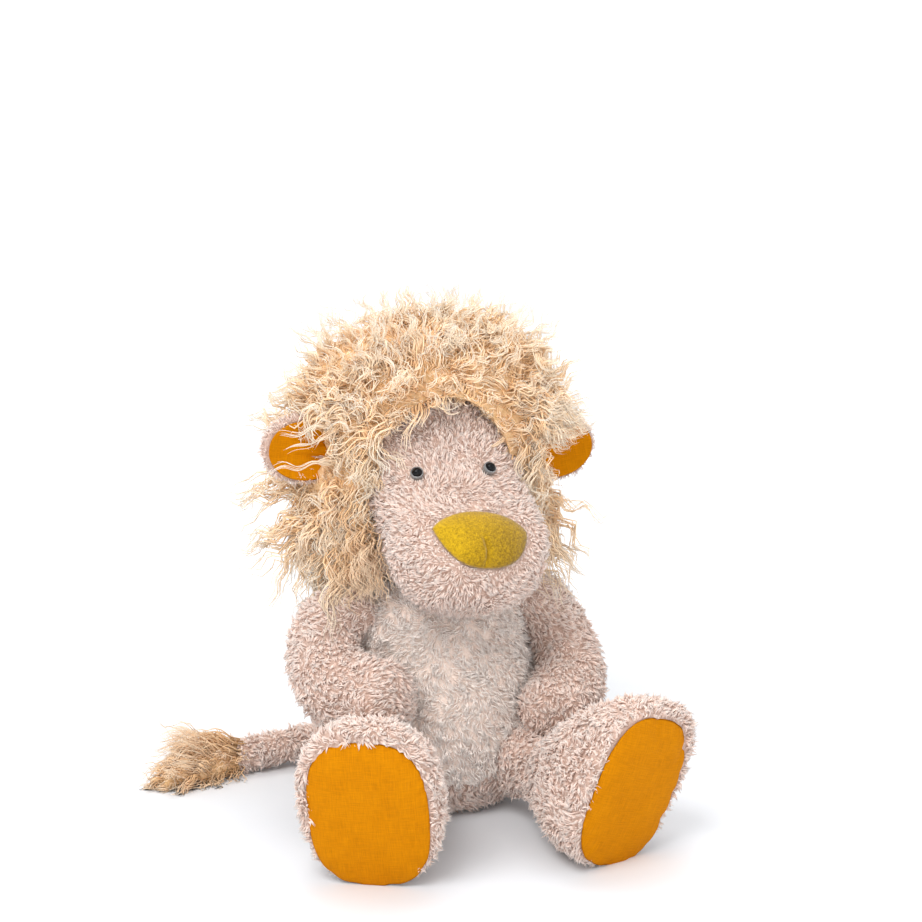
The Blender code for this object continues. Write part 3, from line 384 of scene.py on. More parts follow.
class Soft:
    """Makes and measures soft meshes."""

    @staticmethod
    def smooth_rows(rows: object, count: int) -> np.ndarray:
        """Read rows of numbers at even steps along a smooth curve through them.

        Args:
            rows: The rows.
            count: How many rows come back.

        Returns:
            The rows read.
        """
        table = np.array(rows, dtype=float)
        last = len(table) - 1
        ends = np.vstack([2 * table[0] - table[1], table, 2 * table[-1] - table[-2]])
        result = []
        for step in np.linspace(0, last, count):
            index = min(int(step), last - 1)
            t = step - index
            a, b, c, d = ends[index:index + 4]
            curve = 2 * b + (c - a) * t + (2 * a - 5 * b + 4 * c - d) * t ** 2 + (3 * b - 3 * c + d - a) * t ** 3
            result.append(curve / 2)
        return np.array(result)

    @staticmethod
    def form(name: str, first: object, rings: list[Section], last: object, sides: int,
             fullness: float = 2.0) -> bpy.types.Mesh:
        """A closed form through sections, made by moving a unit sphere's rings.

        Args:
            name: The mesh's name.
            first: The first pole.
            rings: The sections, from the first pole to the last.
            last: The last pole.
            sides: Corners in each section.
            fullness: 2 for ellipses, more for squarer sections.

        Returns:
            The mesh, with its faces outwards.
        """
        form = bmesh.new()
        bmesh.ops.create_uvsphere(form, u_segments=sides, v_segments=len(rings) + 1, radius=1.0)
        for vertex in form.verts:
            polar = math.acos(max(-1.0, min(1.0, -vertex.co.z)))
            index = round(polar / math.pi * (len(rings) + 1))
            if index == 0:
                vertex.co = first
            elif index == len(rings) + 1:
                vertex.co = last
            else:
                angle = math.atan2(vertex.co.y, vertex.co.x)
                section = rings[index - 1]
                swell = (abs(math.cos(angle)) ** fullness + abs(math.sin(angle)) ** fullness) ** (-1 / fullness)
                across = math.cos(angle) * swell * section.half_side
                half = section.half_up if math.sin(angle) > 0 else section.half_down
                vertex.co = section.centre + section.side * across + section.up * math.sin(angle) * swell * half
        return Soft.to_mesh(form, name)

    @staticmethod
    def to_mesh(form: bmesh.types.BMesh, name: str) -> bpy.types.Mesh:
        """Turn a bmesh's faces outwards and store it."""
        bmesh.ops.recalc_face_normals(form, faces=form.faces)
        if form.calc_volume(signed=True) < 0:
            bmesh.ops.reverse_faces(form, faces=form.faces)
        mesh = bpy.data.meshes.new(name)
        form.to_mesh(mesh)
        form.free()
        mesh.shade_smooth()
        return mesh

    @staticmethod
    def offset(mesh: bpy.types.Mesh, distance: float, name: str | None = None) -> bpy.types.Mesh:
        """A copy of a mesh, moved out along its normals."""
        form = bmesh.new()
        form.from_mesh(mesh)
        form.normal_update()
        for vertex, place in [(v, v.co + v.normal * distance) for v in form.verts]:
            vertex.co = place
        return Soft.to_mesh(form, name or mesh.name + "_offset")

    @staticmethod
    def tree(mesh: bpy.types.Mesh) -> BVHTree:
        """A search tree over a mesh."""
        form = bmesh.new()
        form.from_mesh(mesh)
        tree = BVHTree.FromBMesh(form)
        form.free()
        return tree

    @staticmethod
    def inside(mesh: bpy.types.Mesh, points: np.ndarray, depth: float) -> np.ndarray:
        """Which points lie deeper than a depth in a closed mesh."""
        tree = Soft.tree(mesh)
        result = np.zeros(len(points), bool)
        for index, point in enumerate(points):
            place, normal, _, distance = tree.find_nearest(Vector(point))
            result[index] = distance > depth and (Vector(point) - place).dot(normal) < 0
        return result

    @staticmethod
    def ordered(mesh: bpy.types.Mesh) -> bmesh.types.BMesh:
        """A cut mesh in an order that its shape alone sets, since a cut's own order changes by run.

        Args:
            mesh: The mesh.

        Returns:
            Its form, with corners in the order of their places and faces in the order of their corners.
        """
        ranks = sorted(range(len(mesh.vertices)), key=lambda index: [round(v, 6) for v in mesh.vertices[index].co])
        places = {old: new for new, old in enumerate(ranks)}
        form = bmesh.new()
        corners = [form.verts.new(mesh.vertices[index].co) for index in ranks]
        loops = []
        for polygon in mesh.polygons:
            loop = [places[index] for index in polygon.vertices]
            first = loop.index(min(loop))
            loops.append(loop[first:] + loop[:first])
        for loop in sorted(loops):
            form.faces.new([corners[index] for index in loop])
        form.normal_update()
        return form

    @staticmethod
    def difference(mesh: bpy.types.Mesh, *tools: bpy.types.Mesh) -> bpy.types.Mesh:
        """A mesh with others cut out of it.

        Args:
            mesh: The mesh to cut.
            tools: The closed meshes that cut.

        Returns:
            The cut mesh.
        """
        target = bpy.data.objects.new("cut_target", mesh)
        bpy.context.scene.collection.objects.link(target)
        helpers = [target]
        for tool in tools:
            helper = bpy.data.objects.new("cut_tool", tool)
            bpy.context.scene.collection.objects.link(helper)
            helpers.append(helper)
            change = target.modifiers.new("cut", "BOOLEAN")
            change.operation = "DIFFERENCE"
            change.solver = "EXACT"
            change.object = helper
        bpy.context.view_layer.update()
        result = bpy.data.meshes.new_from_object(target.evaluated_get(bpy.context.evaluated_depsgraph_get()))
        for helper in helpers:
            bpy.data.objects.remove(helper)
        result.name = mesh.name
        return result

    @staticmethod
    def path_rings(rows: np.ndarray, first_up: object) -> list[Section]:
        """Round sections square to the path through rows of x, y, z and radius."""
        centres = [Vector(row[:3]) for row in rows]
        rings = []
        for index, row in enumerate(rows):
            along = (centres[min(index + 1, len(rows) - 1)] - centres[max(index - 1, 0)]).normalized()
            side = Vector(first_up).cross(along).normalized()
            rings.append(Section.at(centres[index], side, along.cross(side), row[3], row[3]))
        return rings

    @staticmethod
    def capped(rings: list[Section], first_length: float, last_length: float,
               steps: int = 6) -> tuple[Vector, list[Section], Vector]:
        """Add rounded ends to a row of sections.

        Args:
            rings: The sections.
            first_length: How far the first end bulges.
            last_length: How far the last end bulges.
            steps: Sections in each end.

        Returns:
            The first pole, all sections, and the last pole.
        """
        def dome(base: Section, direction: Vector, length: float) -> list[Section]:
            """The sections of one rounded end."""
            result = []
            for step in range(1, steps + 1):
                angle = math.pi / 2 * step / (steps + 1)
                shrink = math.cos(angle)
                place = base.centre + direction * length * math.sin(angle)
                result.append(Section.at(place, base.side, base.up, base.half_side * shrink, base.half_up * shrink,
                                         base.half_down * shrink))
            return result

        first_direction = -rings[0].side.cross(rings[0].up)
        last_direction = rings[-1].side.cross(rings[-1].up)
        start = dome(rings[0], first_direction, first_length)
        end = dome(rings[-1], last_direction, last_length)
        first_pole = rings[0].centre + first_direction * first_length
        last_pole = rings[-1].centre + last_direction * last_length
        return first_pole, start[::-1] + list(rings) + end, last_pole


# Pile
def unit(rows: np.ndarray) -> np.ndarray:
    """Rows scaled to length 1."""
    return rows / np.maximum(np.linalg.norm(rows, axis=-1, keepdims=True), 1e-9)


def flow_along(direction: tuple[float, float, float]) -> Field:
    """A field that flows one way everywhere."""
    return lambda points, normals: np.tile(np.array(direction, float), (len(points), 1))


def flow_from(centre: tuple[float, float, float]) -> Field:
    """A field that flows away from a point."""
    return lambda points, normals: unit(points - np.array(centre, float))


def drift(points: np.ndarray, pitch: float, seed: int) -> np.ndarray:
    """A smooth field of chance directions.

    Args:
        points: The places to read it at.
        pitch: How far apart its changes are.
        seed: Seed of the field.

    Returns:
        A vector of about unit length at each place.
    """
    rng = np.random.default_rng(seed + 1000)
    total = np.zeros_like(points)
    for _ in range(5):
        waves = rng.normal(size=(3, 3)) / pitch
        total += np.sin(points @ waves + rng.uniform(0, 2 * math.pi, 3))
    return total / 1.6


@dataclass(frozen=True)
class Strand:
    """A tapered strand of unit size, to be bent and repeated."""

    corners: np.ndarray
    faces: np.ndarray

    @classmethod
    def make(cls, sides: int, rings: int) -> "Strand":
        """Cut a cone into rings.

        Args:
            sides: Sides of the strand.
            rings: Lengths that it is cut into.

        Returns:
            The strand, its root at 0 and its tip at 1.
        """
        form = bmesh.new()
        bmesh.ops.create_cone(form, cap_ends=False, segments=sides, radius1=1.0, radius2=0.0, depth=1.0)
        bmesh.ops.translate(form, verts=form.verts, vec=(0.0, 0.0, 0.5))
        bmesh.ops.remove_doubles(form, verts=form.verts, dist=1e-5)
        for step in range(1, rings):
            geometry = form.verts[:] + form.edges[:] + form.faces[:]
            bmesh.ops.bisect_plane(form, geom=geometry, plane_co=(0.0, 0.0, step / rings), plane_no=(0.0, 0.0, 1.0))
        bmesh.ops.triangulate(form, faces=form.faces)
        bmesh.ops.recalc_face_normals(form, faces=form.faces)
        form.verts.index_update()
        corners = np.array([v.co[:] for v in form.verts])
        faces = np.array([[v.index for v in f.verts] for f in form.faces])
        form.free()
        return cls(corners, faces)


@dataclass(frozen=True)
class Pile:
    """How the pile of one cloth grows; lengths are metres and shares are 0 to 1."""

    length: float
    radius: float
    spacing: float
    lean: float = 0.55
    jitter: float = 0.25
    stray: float = 0.12
    sway: float = 0.0
    sway_pitch: float = 0.012
    curl: float = 0.0008
    turns: float = 0.5
    planar: float = 0.0
    scatter_phase: float = 0.45
    tuft: float = 0.005
    gather: float = 0.5
    droop: float = 0.0
    uneven: float = 0.25
    sides: int = 3
    rings: int = 3
    thin: float = 0.6

    def grow(self, name: str, ground: bpy.types.Mesh, flow: Field, keep: Field | None, seed: int,
             scale: Field | None = None, rise: Field | None = None) -> list[bpy.types.Mesh]:
        """Grow this pile on a ground.

        Args:
            name: The mesh's name.
            ground: The mesh that it grows on.
            flow: Which way the strands lean at each place.
            keep: Where pile grows, as a mask over places and normals.
            seed: Seed of the scatter.
            scale: Length of the pile at each place, as a share of its own.
            rise: How far the strands lean over at each place, in place of the pile's own lean.

        Returns:
            Meshes of strands with the attributes along and tone, none over the limit of triangles.
        """
        rng = np.random.default_rng(seed)
        roots, normals = self.scatter(ground, rng)
        if keep is not None:
            kept = keep(roots, normals)
            roots, normals = roots[kept], normals[kept]
        count = len(roots)
        centre, which = self.tufts(roots, rng)
        tufts = len(centre)
        wild = rng.normal(size=(tufts, 3))[which]
        own = rng.normal(size=(count, 3))
        lay = flow(roots, normals)
        if self.sway:
            lay = unit(lay) + self.sway * drift(roots, self.sway_pitch, seed)
        lay = unit(lay - normals * np.sum(lay * normals, axis=1, keepdims=True))
        lean = self.lean if rise is None else rise(roots, normals)[:, None]
        heading = unit(normals * (1 - lean) + lay * lean + wild * self.jitter + own * self.stray)
        size = self.length * (1 + self.uneven * rng.uniform(-1, 1, tufts)[which]) * rng.uniform(0.8, 1.1, count)
        if scale is not None:
            size = size * scale(roots, normals)
        return self.spin(name, roots, heading, size, centre, which, rng)

    def strew(self, name: str, locks: list[tuple[Vector, Vector, float]], strands: int, spread: float,
              seed: int) -> list[bpy.types.Mesh]:
        """Lay single locks one by one.

        Args:
            name: The mesh's name.
            locks: The root, direction and length of each lock.
            strands: Strands in a lock.
            spread: How far from the lock's middle its strands start.
            seed: Seed of the chance in them.

        Returns:
            Their meshes.
        """
        rng = np.random.default_rng(seed)
        which = np.repeat(np.arange(len(locks)), strands)
        centre = np.array([lock[0][:] for lock in locks])
        roots = centre[which] + rng.normal(size=(len(which), 3)) * spread
        heading = unit(unit(np.array([lock[1][:] for lock in locks]))[which] + rng.normal(size=(len(which), 3)) * self.stray)
        size = np.array([lock[2] for lock in locks])[which] * rng.uniform(0.85, 1.1, len(which))
        return self.spin(name, roots, heading, size, centre, which, rng)

    def spin(self, name: str, roots: np.ndarray, heading: np.ndarray, size: np.ndarray, centre: np.ndarray,
             which: np.ndarray, rng: np.random.Generator) -> list[bpy.types.Mesh]:
        """Bend and gather one strand at each root.

        Args:
            name: The mesh's name.
            roots: Where the strands stand.
            heading: Which way they point.
            size: Their lengths.
            centre: Each tuft's centre.
            which: The tuft of each strand.
            rng: The source of chance.

        Returns:
            The meshes.
        """
        count, tufts = len(roots), len(centre)
        wild = rng.normal(size=(tufts, 3))[which]
        side = unit(np.cross(heading, unit(rng.normal(size=(count, 3)))))
        other = np.cross(heading, side)
        strand = Strand.make(self.sides, self.rings)
        share = strand.corners[:, 2][None, :, None]
        phase = (rng.uniform(0, 2 * math.pi, tufts)[which] + rng.normal(0, self.scatter_phase, count))[:, None, None]
        turns = self.turns * (size / self.length * rng.uniform(0.75, 1.3, tufts)[which])[:, None, None]
        angle = phase + turns * 2 * math.pi * share
        swirl_side = unit(np.cross(heading, wild))
        swirl_other = np.cross(heading, swirl_side) * (1 - self.planar)
        amount = self.curl * rng.uniform(0.5, 1.5, tufts)[which][:, None, None] * np.minimum(share * 3, 1)
        line = roots[:, None] + heading[:, None] * size[:, None, None] * share
        line = line + amount * ((np.cos(angle) - np.cos(phase)) * swirl_side[:, None]
                                + (np.sin(angle) - np.sin(phase)) * swirl_other[:, None])
        line = line + self.gather * (centre[which] - roots)[:, None] * share ** 1.3
        line[:, :, 2] -= (self.droop * size[:, None] * share[0, :, 0][None, :] ** 2)
        reach = line - roots[:, None]
        low, high = (np.array(corner) - roots[:, None] for corner in HAIR_BOX)
        room = np.where(reach > 0, high / np.maximum(reach, 1e-9), low / np.minimum(reach, -1e-9))
        fit = np.clip(room.min(axis=(1, 2)), SHORTEST_FIT, 1.0)
        line = roots[:, None] + reach * fit[:, None, None]
        thick = self.radius * rng.uniform(0.7, 1.3, count)[:, None, None]
        taper = np.maximum(1 - share, 1e-6) ** (self.thin - 1)
        across = strand.corners[:, 0][None, :, None] * side[:, None] + strand.corners[:, 1][None, :, None] * other[:, None]
        places = line + across * thick * taper
        places[:, :, 2] = np.clip(places[:, :, 2], FLOOR_CLEARANCE, HIGHEST_HAIR)
        tone = 0.6 * rng.uniform(0, 1, tufts)[which] + 0.4 * rng.uniform(0, 1, count)
        corners = len(strand.corners)
        parts = max(1, math.ceil(count * len(strand.faces) / MOST_TRIANGLES))
        meshes = []
        for part in np.array_split(np.argsort(roots[:, 1]), parts):
            faces = (strand.faces[None] + (np.arange(len(part)) * corners)[:, None, None]).reshape(-1, 3)
            along = np.tile(strand.corners[:, 2], len(part))
            meshes.append(self.store(name, places[part].reshape(-1, 3), faces, along, np.repeat(tone[part], corners)))
        return meshes

    def scatter(self, ground: bpy.types.Mesh, rng: np.random.Generator) -> tuple[np.ndarray, np.ndarray]:
        """Spread roots evenly over a mesh.

        Args:
            ground: The mesh.
            rng: The source of chance.

        Returns:
            The roots and the normals there.
        """
        ground.calc_loop_triangles()
        corners = np.zeros(len(ground.loop_triangles) * 3, np.int64)
        ground.loop_triangles.foreach_get("vertices", corners)
        corners = corners.reshape(-1, 3)
        places = np.zeros(len(ground.vertices) * 3)
        ground.vertices.foreach_get("co", places)
        places = places.reshape(-1, 3)
        normals = np.zeros(len(ground.vertices) * 3)
        ground.vertices.foreach_get("normal", normals)
        normals = normals.reshape(-1, 3)
        a, b, c = places[corners[:, 0]], places[corners[:, 1]], places[corners[:, 2]]
        area = np.linalg.norm(np.cross(b - a, c - a), axis=1) / 2
        total = np.cumsum(area)
        count = int(total[-1] / self.spacing ** 2)
        picks = np.searchsorted(total, (np.arange(count) + rng.uniform(0, 1, count)) / count * total[-1] * 0.999999)
        first = np.sqrt(rng.uniform(0, 1, count))
        second = rng.uniform(0, 1, count)
        weights = np.stack([1 - first, first * (1 - second), first * second], axis=1)[:, :, None]
        corner = corners[picks]
        return np.sum(places[corner] * weights, axis=1), unit(np.sum(normals[corner] * weights, axis=1))

    def tufts(self, roots: np.ndarray, rng: np.random.Generator) -> tuple[np.ndarray, np.ndarray]:
        """Share the roots out among tufts.

        Args:
            roots: Where the strands stand.
            rng: The source of chance.

        Returns:
            Each tuft's centre, and the tuft that each root belongs to.
        """
        count = max(1, int(len(roots) * (self.spacing / self.tuft) ** 2))
        chosen = rng.permutation(len(roots))[:count]
        search = KDTree(count)
        for index, root in enumerate(roots[chosen]):
            search.insert(root, index)
        search.balance()
        which = np.array([search.find(root)[1] for root in roots], dtype=np.int64)
        return roots[chosen], which

    @staticmethod
    def store(name: str, places: np.ndarray, faces: np.ndarray, along: np.ndarray, tone: np.ndarray) -> bpy.types.Mesh:
        """Store the repeated strands as one mesh.

        Args:
            name: The mesh's name.
            places: The corners.
            faces: Three corners a face.
            along: How far along its strand each corner is.
            tone: Each corner's tone.

        Returns:
            The mesh.
        """
        mesh = bpy.data.meshes.new(name)
        mesh.vertices.add(len(places))
        mesh.vertices.foreach_set("co", places.astype(np.float32).ravel())
        mesh.loops.add(len(faces) * 3)
        mesh.loops.foreach_set("vertex_index", faces.astype(np.int32).ravel())
        mesh.polygons.add(len(faces))
        mesh.polygons.foreach_set("loop_start", np.arange(0, len(faces) * 3, 3, dtype=np.int32))
        mesh.update(calc_edges=True)
        for key, values in (("along", along), ("tone", tone)):
            mesh.attributes.new(key, "FLOAT", "POINT").data.foreach_set("value", values.astype(np.float32))
        mesh.shade_smooth()
        return mesh


@dataclass(frozen=True)
class Finishes:
    """Every finish of the lion, made once."""

    plush: bpy.types.Material
    plush_ground: bpy.types.Material
    bib: bpy.types.Material
    bib_ground: bpy.types.Material
    mane: bpy.types.Material
    mane_cream: bpy.types.Material
    mane_deep: bpy.types.Material
    mane_ground: bpy.types.Material
    linen: bpy.types.Material
    felt: bpy.types.Material
    bead: bpy.types.Material
    clear: bpy.types.Material
    nylon: bpy.types.Material
    thread: bpy.types.Material

    @classmethod
    def make(cls) -> "Finishes":
        """Make the finishes."""
        return cls(
            plush=PileFinish("plush_pile", (0.58, 0.39, 0.31), (0.90, 0.715, 0.625), (0.96, 0.87, 0.81), (0.90, 0.67, 0.57)).make(),
            plush_ground=GroundFinish("plush_ground", (0.46, 0.29, 0.22), (0.70, 0.52, 0.44)).make(),
            bib=PileFinish("bib_pile", (0.95, 0.77, 0.67), (1.0, 0.89, 0.82), (1.0, 0.94, 0.89), (1.0, 0.86, 0.78), tone_spread=0.12).make(),
            bib_ground=GroundFinish("bib_ground", (0.88, 0.71, 0.61), (0.98, 0.87, 0.79)).make(),
            mane=PileFinish("mane_pile", (0.78, 0.46, 0.20), (1.0, 0.71, 0.43), (1.0, 0.91, 0.77), (1.0, 0.62, 0.30),
                            patch_scale=45.0, tone_spread=0.34, roughness=0.6).make(),
            mane_cream=PileFinish("mane_cream", (0.95, 0.64, 0.38), (1.0, 0.84, 0.64), (1.0, 0.95, 0.86), (1.0, 0.76, 0.50),
                                  patch_scale=45.0, tone_spread=0.20, roughness=0.6).make(),
            # A darker copy of the mane's gold: painted shade on the locks under the hood's hem and beside the muzzle,
            # and the tail tuft's own darker gold.
            mane_deep=PileFinish("mane_deep", (0.52, 0.30, 0.12), (0.84, 0.55, 0.30), (0.98, 0.80, 0.60), (0.82, 0.46, 0.20),
                                 patch_scale=60.0, tone_spread=0.34, roughness=0.6).make(),
            mane_ground=GroundFinish("mane_ground", (0.60, 0.35, 0.15), (0.92, 0.64, 0.38), 260.0).make(),
            linen=ClothFinish("sole_linen", Weave.LINEN, (0.50, 0.165, 0.0), (0.62, 0.215, 0.0), (0.72, 0.27, 0.001)).make(),
            felt=ClothFinish("nose_felt", Weave.FELT, (0.19, 0.105, 0.003), (0.39, 0.225, 0.004), (0.62, 0.38, 0.007)).make(),
            bead=SmoothFinish("eye_bead", (0.003, 0.003, 0.004), (0.006, 0.006, 0.007), 0.03, shine=0.22).make(),
            clear=SmoothFinish("eye_ring", (0.55, 0.54, 0.53), (0.46, 0.46, 0.46), 0.04, transmission=0.55, coat=0.3).make(),
            nylon=SmoothFinish("washer_nylon", (0.75, 0.75, 0.72), (0.82, 0.82, 0.80), 0.4).make(),
            thread=SmoothFinish("nose_thread", (0.12, 0.08, 0.01), (0.20, 0.14, 0.015), 0.8).make(),
        )


class Workshop:
    """Adds finished pieces to the scene and says what rides where."""

    def __init__(self, finishes: Finishes) -> None:
        """Keep the finishes."""
        self.finishes = finishes
        self.total = 0

    def add(self, name: str, mesh: bpy.types.Mesh, finish: bpy.types.Material, body: str, slot: str,
            *nodes: str) -> bpy.types.Object:
        """Add one piece.

        Args:
            name: The piece's name.
            mesh: Its mesh, in place.
            finish: Its material.
            body: The CAD body that it rides on.
            slot: The record's material slot; not used.
            nodes: CAD nodes that it replaces.

        Returns:
            The piece.
        """
        mesh.name = name
        mesh.materials.clear()
        mesh.materials.append(finish)
        piece = bpy.data.objects.new(name, mesh)
        bpy.context.scene.collection.objects.link(piece)
        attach(piece, body)
        if nodes:
            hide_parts(*nodes)
        mesh.calc_loop_triangles()
        faces = len(mesh.loop_triangles)
        self.total += faces
        LOG.info("%-22s %8d triangles on %s", name, faces, body)
        return piece


    def add_pile(self, name: str, meshes: list[bpy.types.Mesh], finish: bpy.types.Material, body: str, slot: str) -> None:
        """Add the pieces of one pile.

        Args:
            name: The pile's name.
            meshes: Its meshes.
            finish: Its material.
            body: The CAD body that it rides on.
            slot: The record's material slot; not used, only passed on to add.
        """
        for index, mesh in enumerate(meshes):
            self.add(name if len(meshes) == 1 else f"{name}_{index + 1}", mesh, finish, body, slot)


BODY_PILE = Pile(length=0.0055, radius=0.00072, spacing=0.00158, lean=0.60, jitter=0.26, stray=0.06, sway=0.70,
                 sway_pitch=0.010, curl=0.0006, turns=0.7, tuft=0.0030, gather=0.74, uneven=0.40, rings=2, thin=0.40)
FACE_PILE = Pile(length=0.0052, radius=0.00063, spacing=0.00140, lean=0.60, jitter=0.24, stray=0.08, sway=0.70,
                 sway_pitch=0.010, curl=0.0006, turns=0.7, tuft=0.0025, gather=0.66, uneven=0.40, rings=2, thin=0.40)
BIB_PILE = Pile(length=0.0070, radius=0.00062, spacing=0.00142, lean=0.58, jitter=0.24, stray=0.14, sway=0.6,
                sway_pitch=0.010, curl=0.0010, turns=0.8, tuft=0.0040, gather=0.40, uneven=0.35, rings=2, thin=0.42)


@dataclass
class Torso:
    """The torso: its cover, the cream bib in front, and the neck that the head turns on."""

    height: float = 0.160
    width: float = 0.154
    front: float = 0.068
    back: float = 0.066
    middle_y: float = 0.004
    inset: float = 0.0020
    neck_height: float = 0.142
    neck_radius: float = 0.034
    bib_width: float = 0.136
    bib_top: float = 0.170
    bib_tip: float = 0.028
    level_shares: tuple = (
        (0.000, 0.50, 0.54, 0.58), (0.008, 0.68, 0.66, 0.74), (0.060, 0.84, 0.82, 0.89), (0.180, 0.97, 0.95, 0.98),
        (0.360, 1.00, 1.00, 1.00), (0.540, 0.94, 0.95, 0.97), (0.700, 0.87, 0.84, 0.88), (0.830, 0.83, 0.72, 0.78),
        (0.930, 0.79, 0.62, 0.70), (1.010, 0.71, 0.50, 0.60), (1.065, 0.58, 0.36, 0.46), (1.090, 0.34, 0.20, 0.26),
    )
    collar: float = 0.1755
    bib_shares: tuple = ((0.00, 0.14), (0.05, 0.38), (0.16, 0.66), (0.30, 0.88), (0.48, 1.00), (0.74, 1.02), (1.00, 0.96))
    cover: bpy.types.Mesh | None = field(default=None, init=False)

    def shape(self) -> bpy.types.Mesh:
        """The torso's form."""
        rings = []
        for height, width, front, back in Soft.smooth_rows(self.level_shares, 38):
            centre = (0.0, self.middle_y, height * self.height)
            rings.append(Section.at(centre, (1, 0, 0), (0, 1, 0), width * self.width / 2, back * self.back, front * self.front))
        mesh = Soft.form("torso_cover", (0.0, self.middle_y, 0.0), rings, (0.0, self.middle_y, self.collar), 64)
        mesh = Soft.offset(mesh, -self.inset, "torso_cover")
        for vertex in mesh.vertices:
            vertex.co.z = max(vertex.co.z, 0.0)
        return mesh

    def on_bib(self, points: np.ndarray, normals: np.ndarray) -> np.ndarray:
        """Which places lie on the bib."""
        levels = np.array([share for share, _ in self.bib_shares]) * (self.bib_top - self.bib_tip) + self.bib_tip
        halves = np.array([half for _, half in self.bib_shares]) * self.bib_width / 2
        half = np.interp(points[:, 2], levels, halves, left=-1.0, right=-1.0)
        return (np.abs(points[:, 0]) < half) & (points[:, 1] < self.middle_y)

    def build(self, shop: Workshop, others: list[bpy.types.Mesh]) -> None:
        """Build and dress the torso.

        Args:
            shop: Where the pieces go.
            others: Forms that hide pile that starts inside them.
        """
        self.cover = self.shape()
        cover = shop.add("torso_cover", self.cover, shop.finishes.plush_ground, "body", "plush", "body_skin",
                         "belly_bib", "body_stuffing", "seat_pellet_pouch")
        self.cover.materials.append(shop.finishes.bib_ground)
        middles = np.array([face.center[:] for face in self.cover.polygons])
        for face, mark in zip(self.cover.polygons, self.on_bib(middles, middles)):
            face.material_index = int(mark)
        down = flow_along((0.0, 0.0, -1.0))

        def outside(points: np.ndarray, normals: np.ndarray) -> np.ndarray:
            """Places that no other form covers, above the seat."""
            kept = points[:, 2] > 0.0008
            for other in others:
                kept &= ~Soft.inside(other, points, 0.003)
            return kept

        pile = BODY_PILE.grow("torso_pile", self.cover, down, lambda p, n: outside(p, n) & ~self.on_bib(p, n), 11)
        shop.add_pile("torso_pile", pile, shop.finishes.plush, "body", "plush")
        bib = BIB_PILE.grow("bib_pile", self.cover, down, lambda p, n: outside(p, n) & self.on_bib(p, n), 12)
        shop.add_pile("bib_pile", bib, shop.finishes.bib, "body", "bib_plush")

    def build_neck(self, shop: Workshop) -> None:
        """Build the neck's ball of filling, which the head hides."""
        form = bmesh.new()
        bmesh.ops.create_icosphere(form, subdivisions=4, radius=self.neck_radius - 0.006)
        bmesh.ops.translate(form, verts=form.verts, vec=(0.0, self.middle_y, self.neck_height))
        neck = shop.add("neck_pad", Soft.to_mesh(form, "neck_pad"), shop.finishes.plush_ground, "neck", "stuffing", "neck_stuffing")


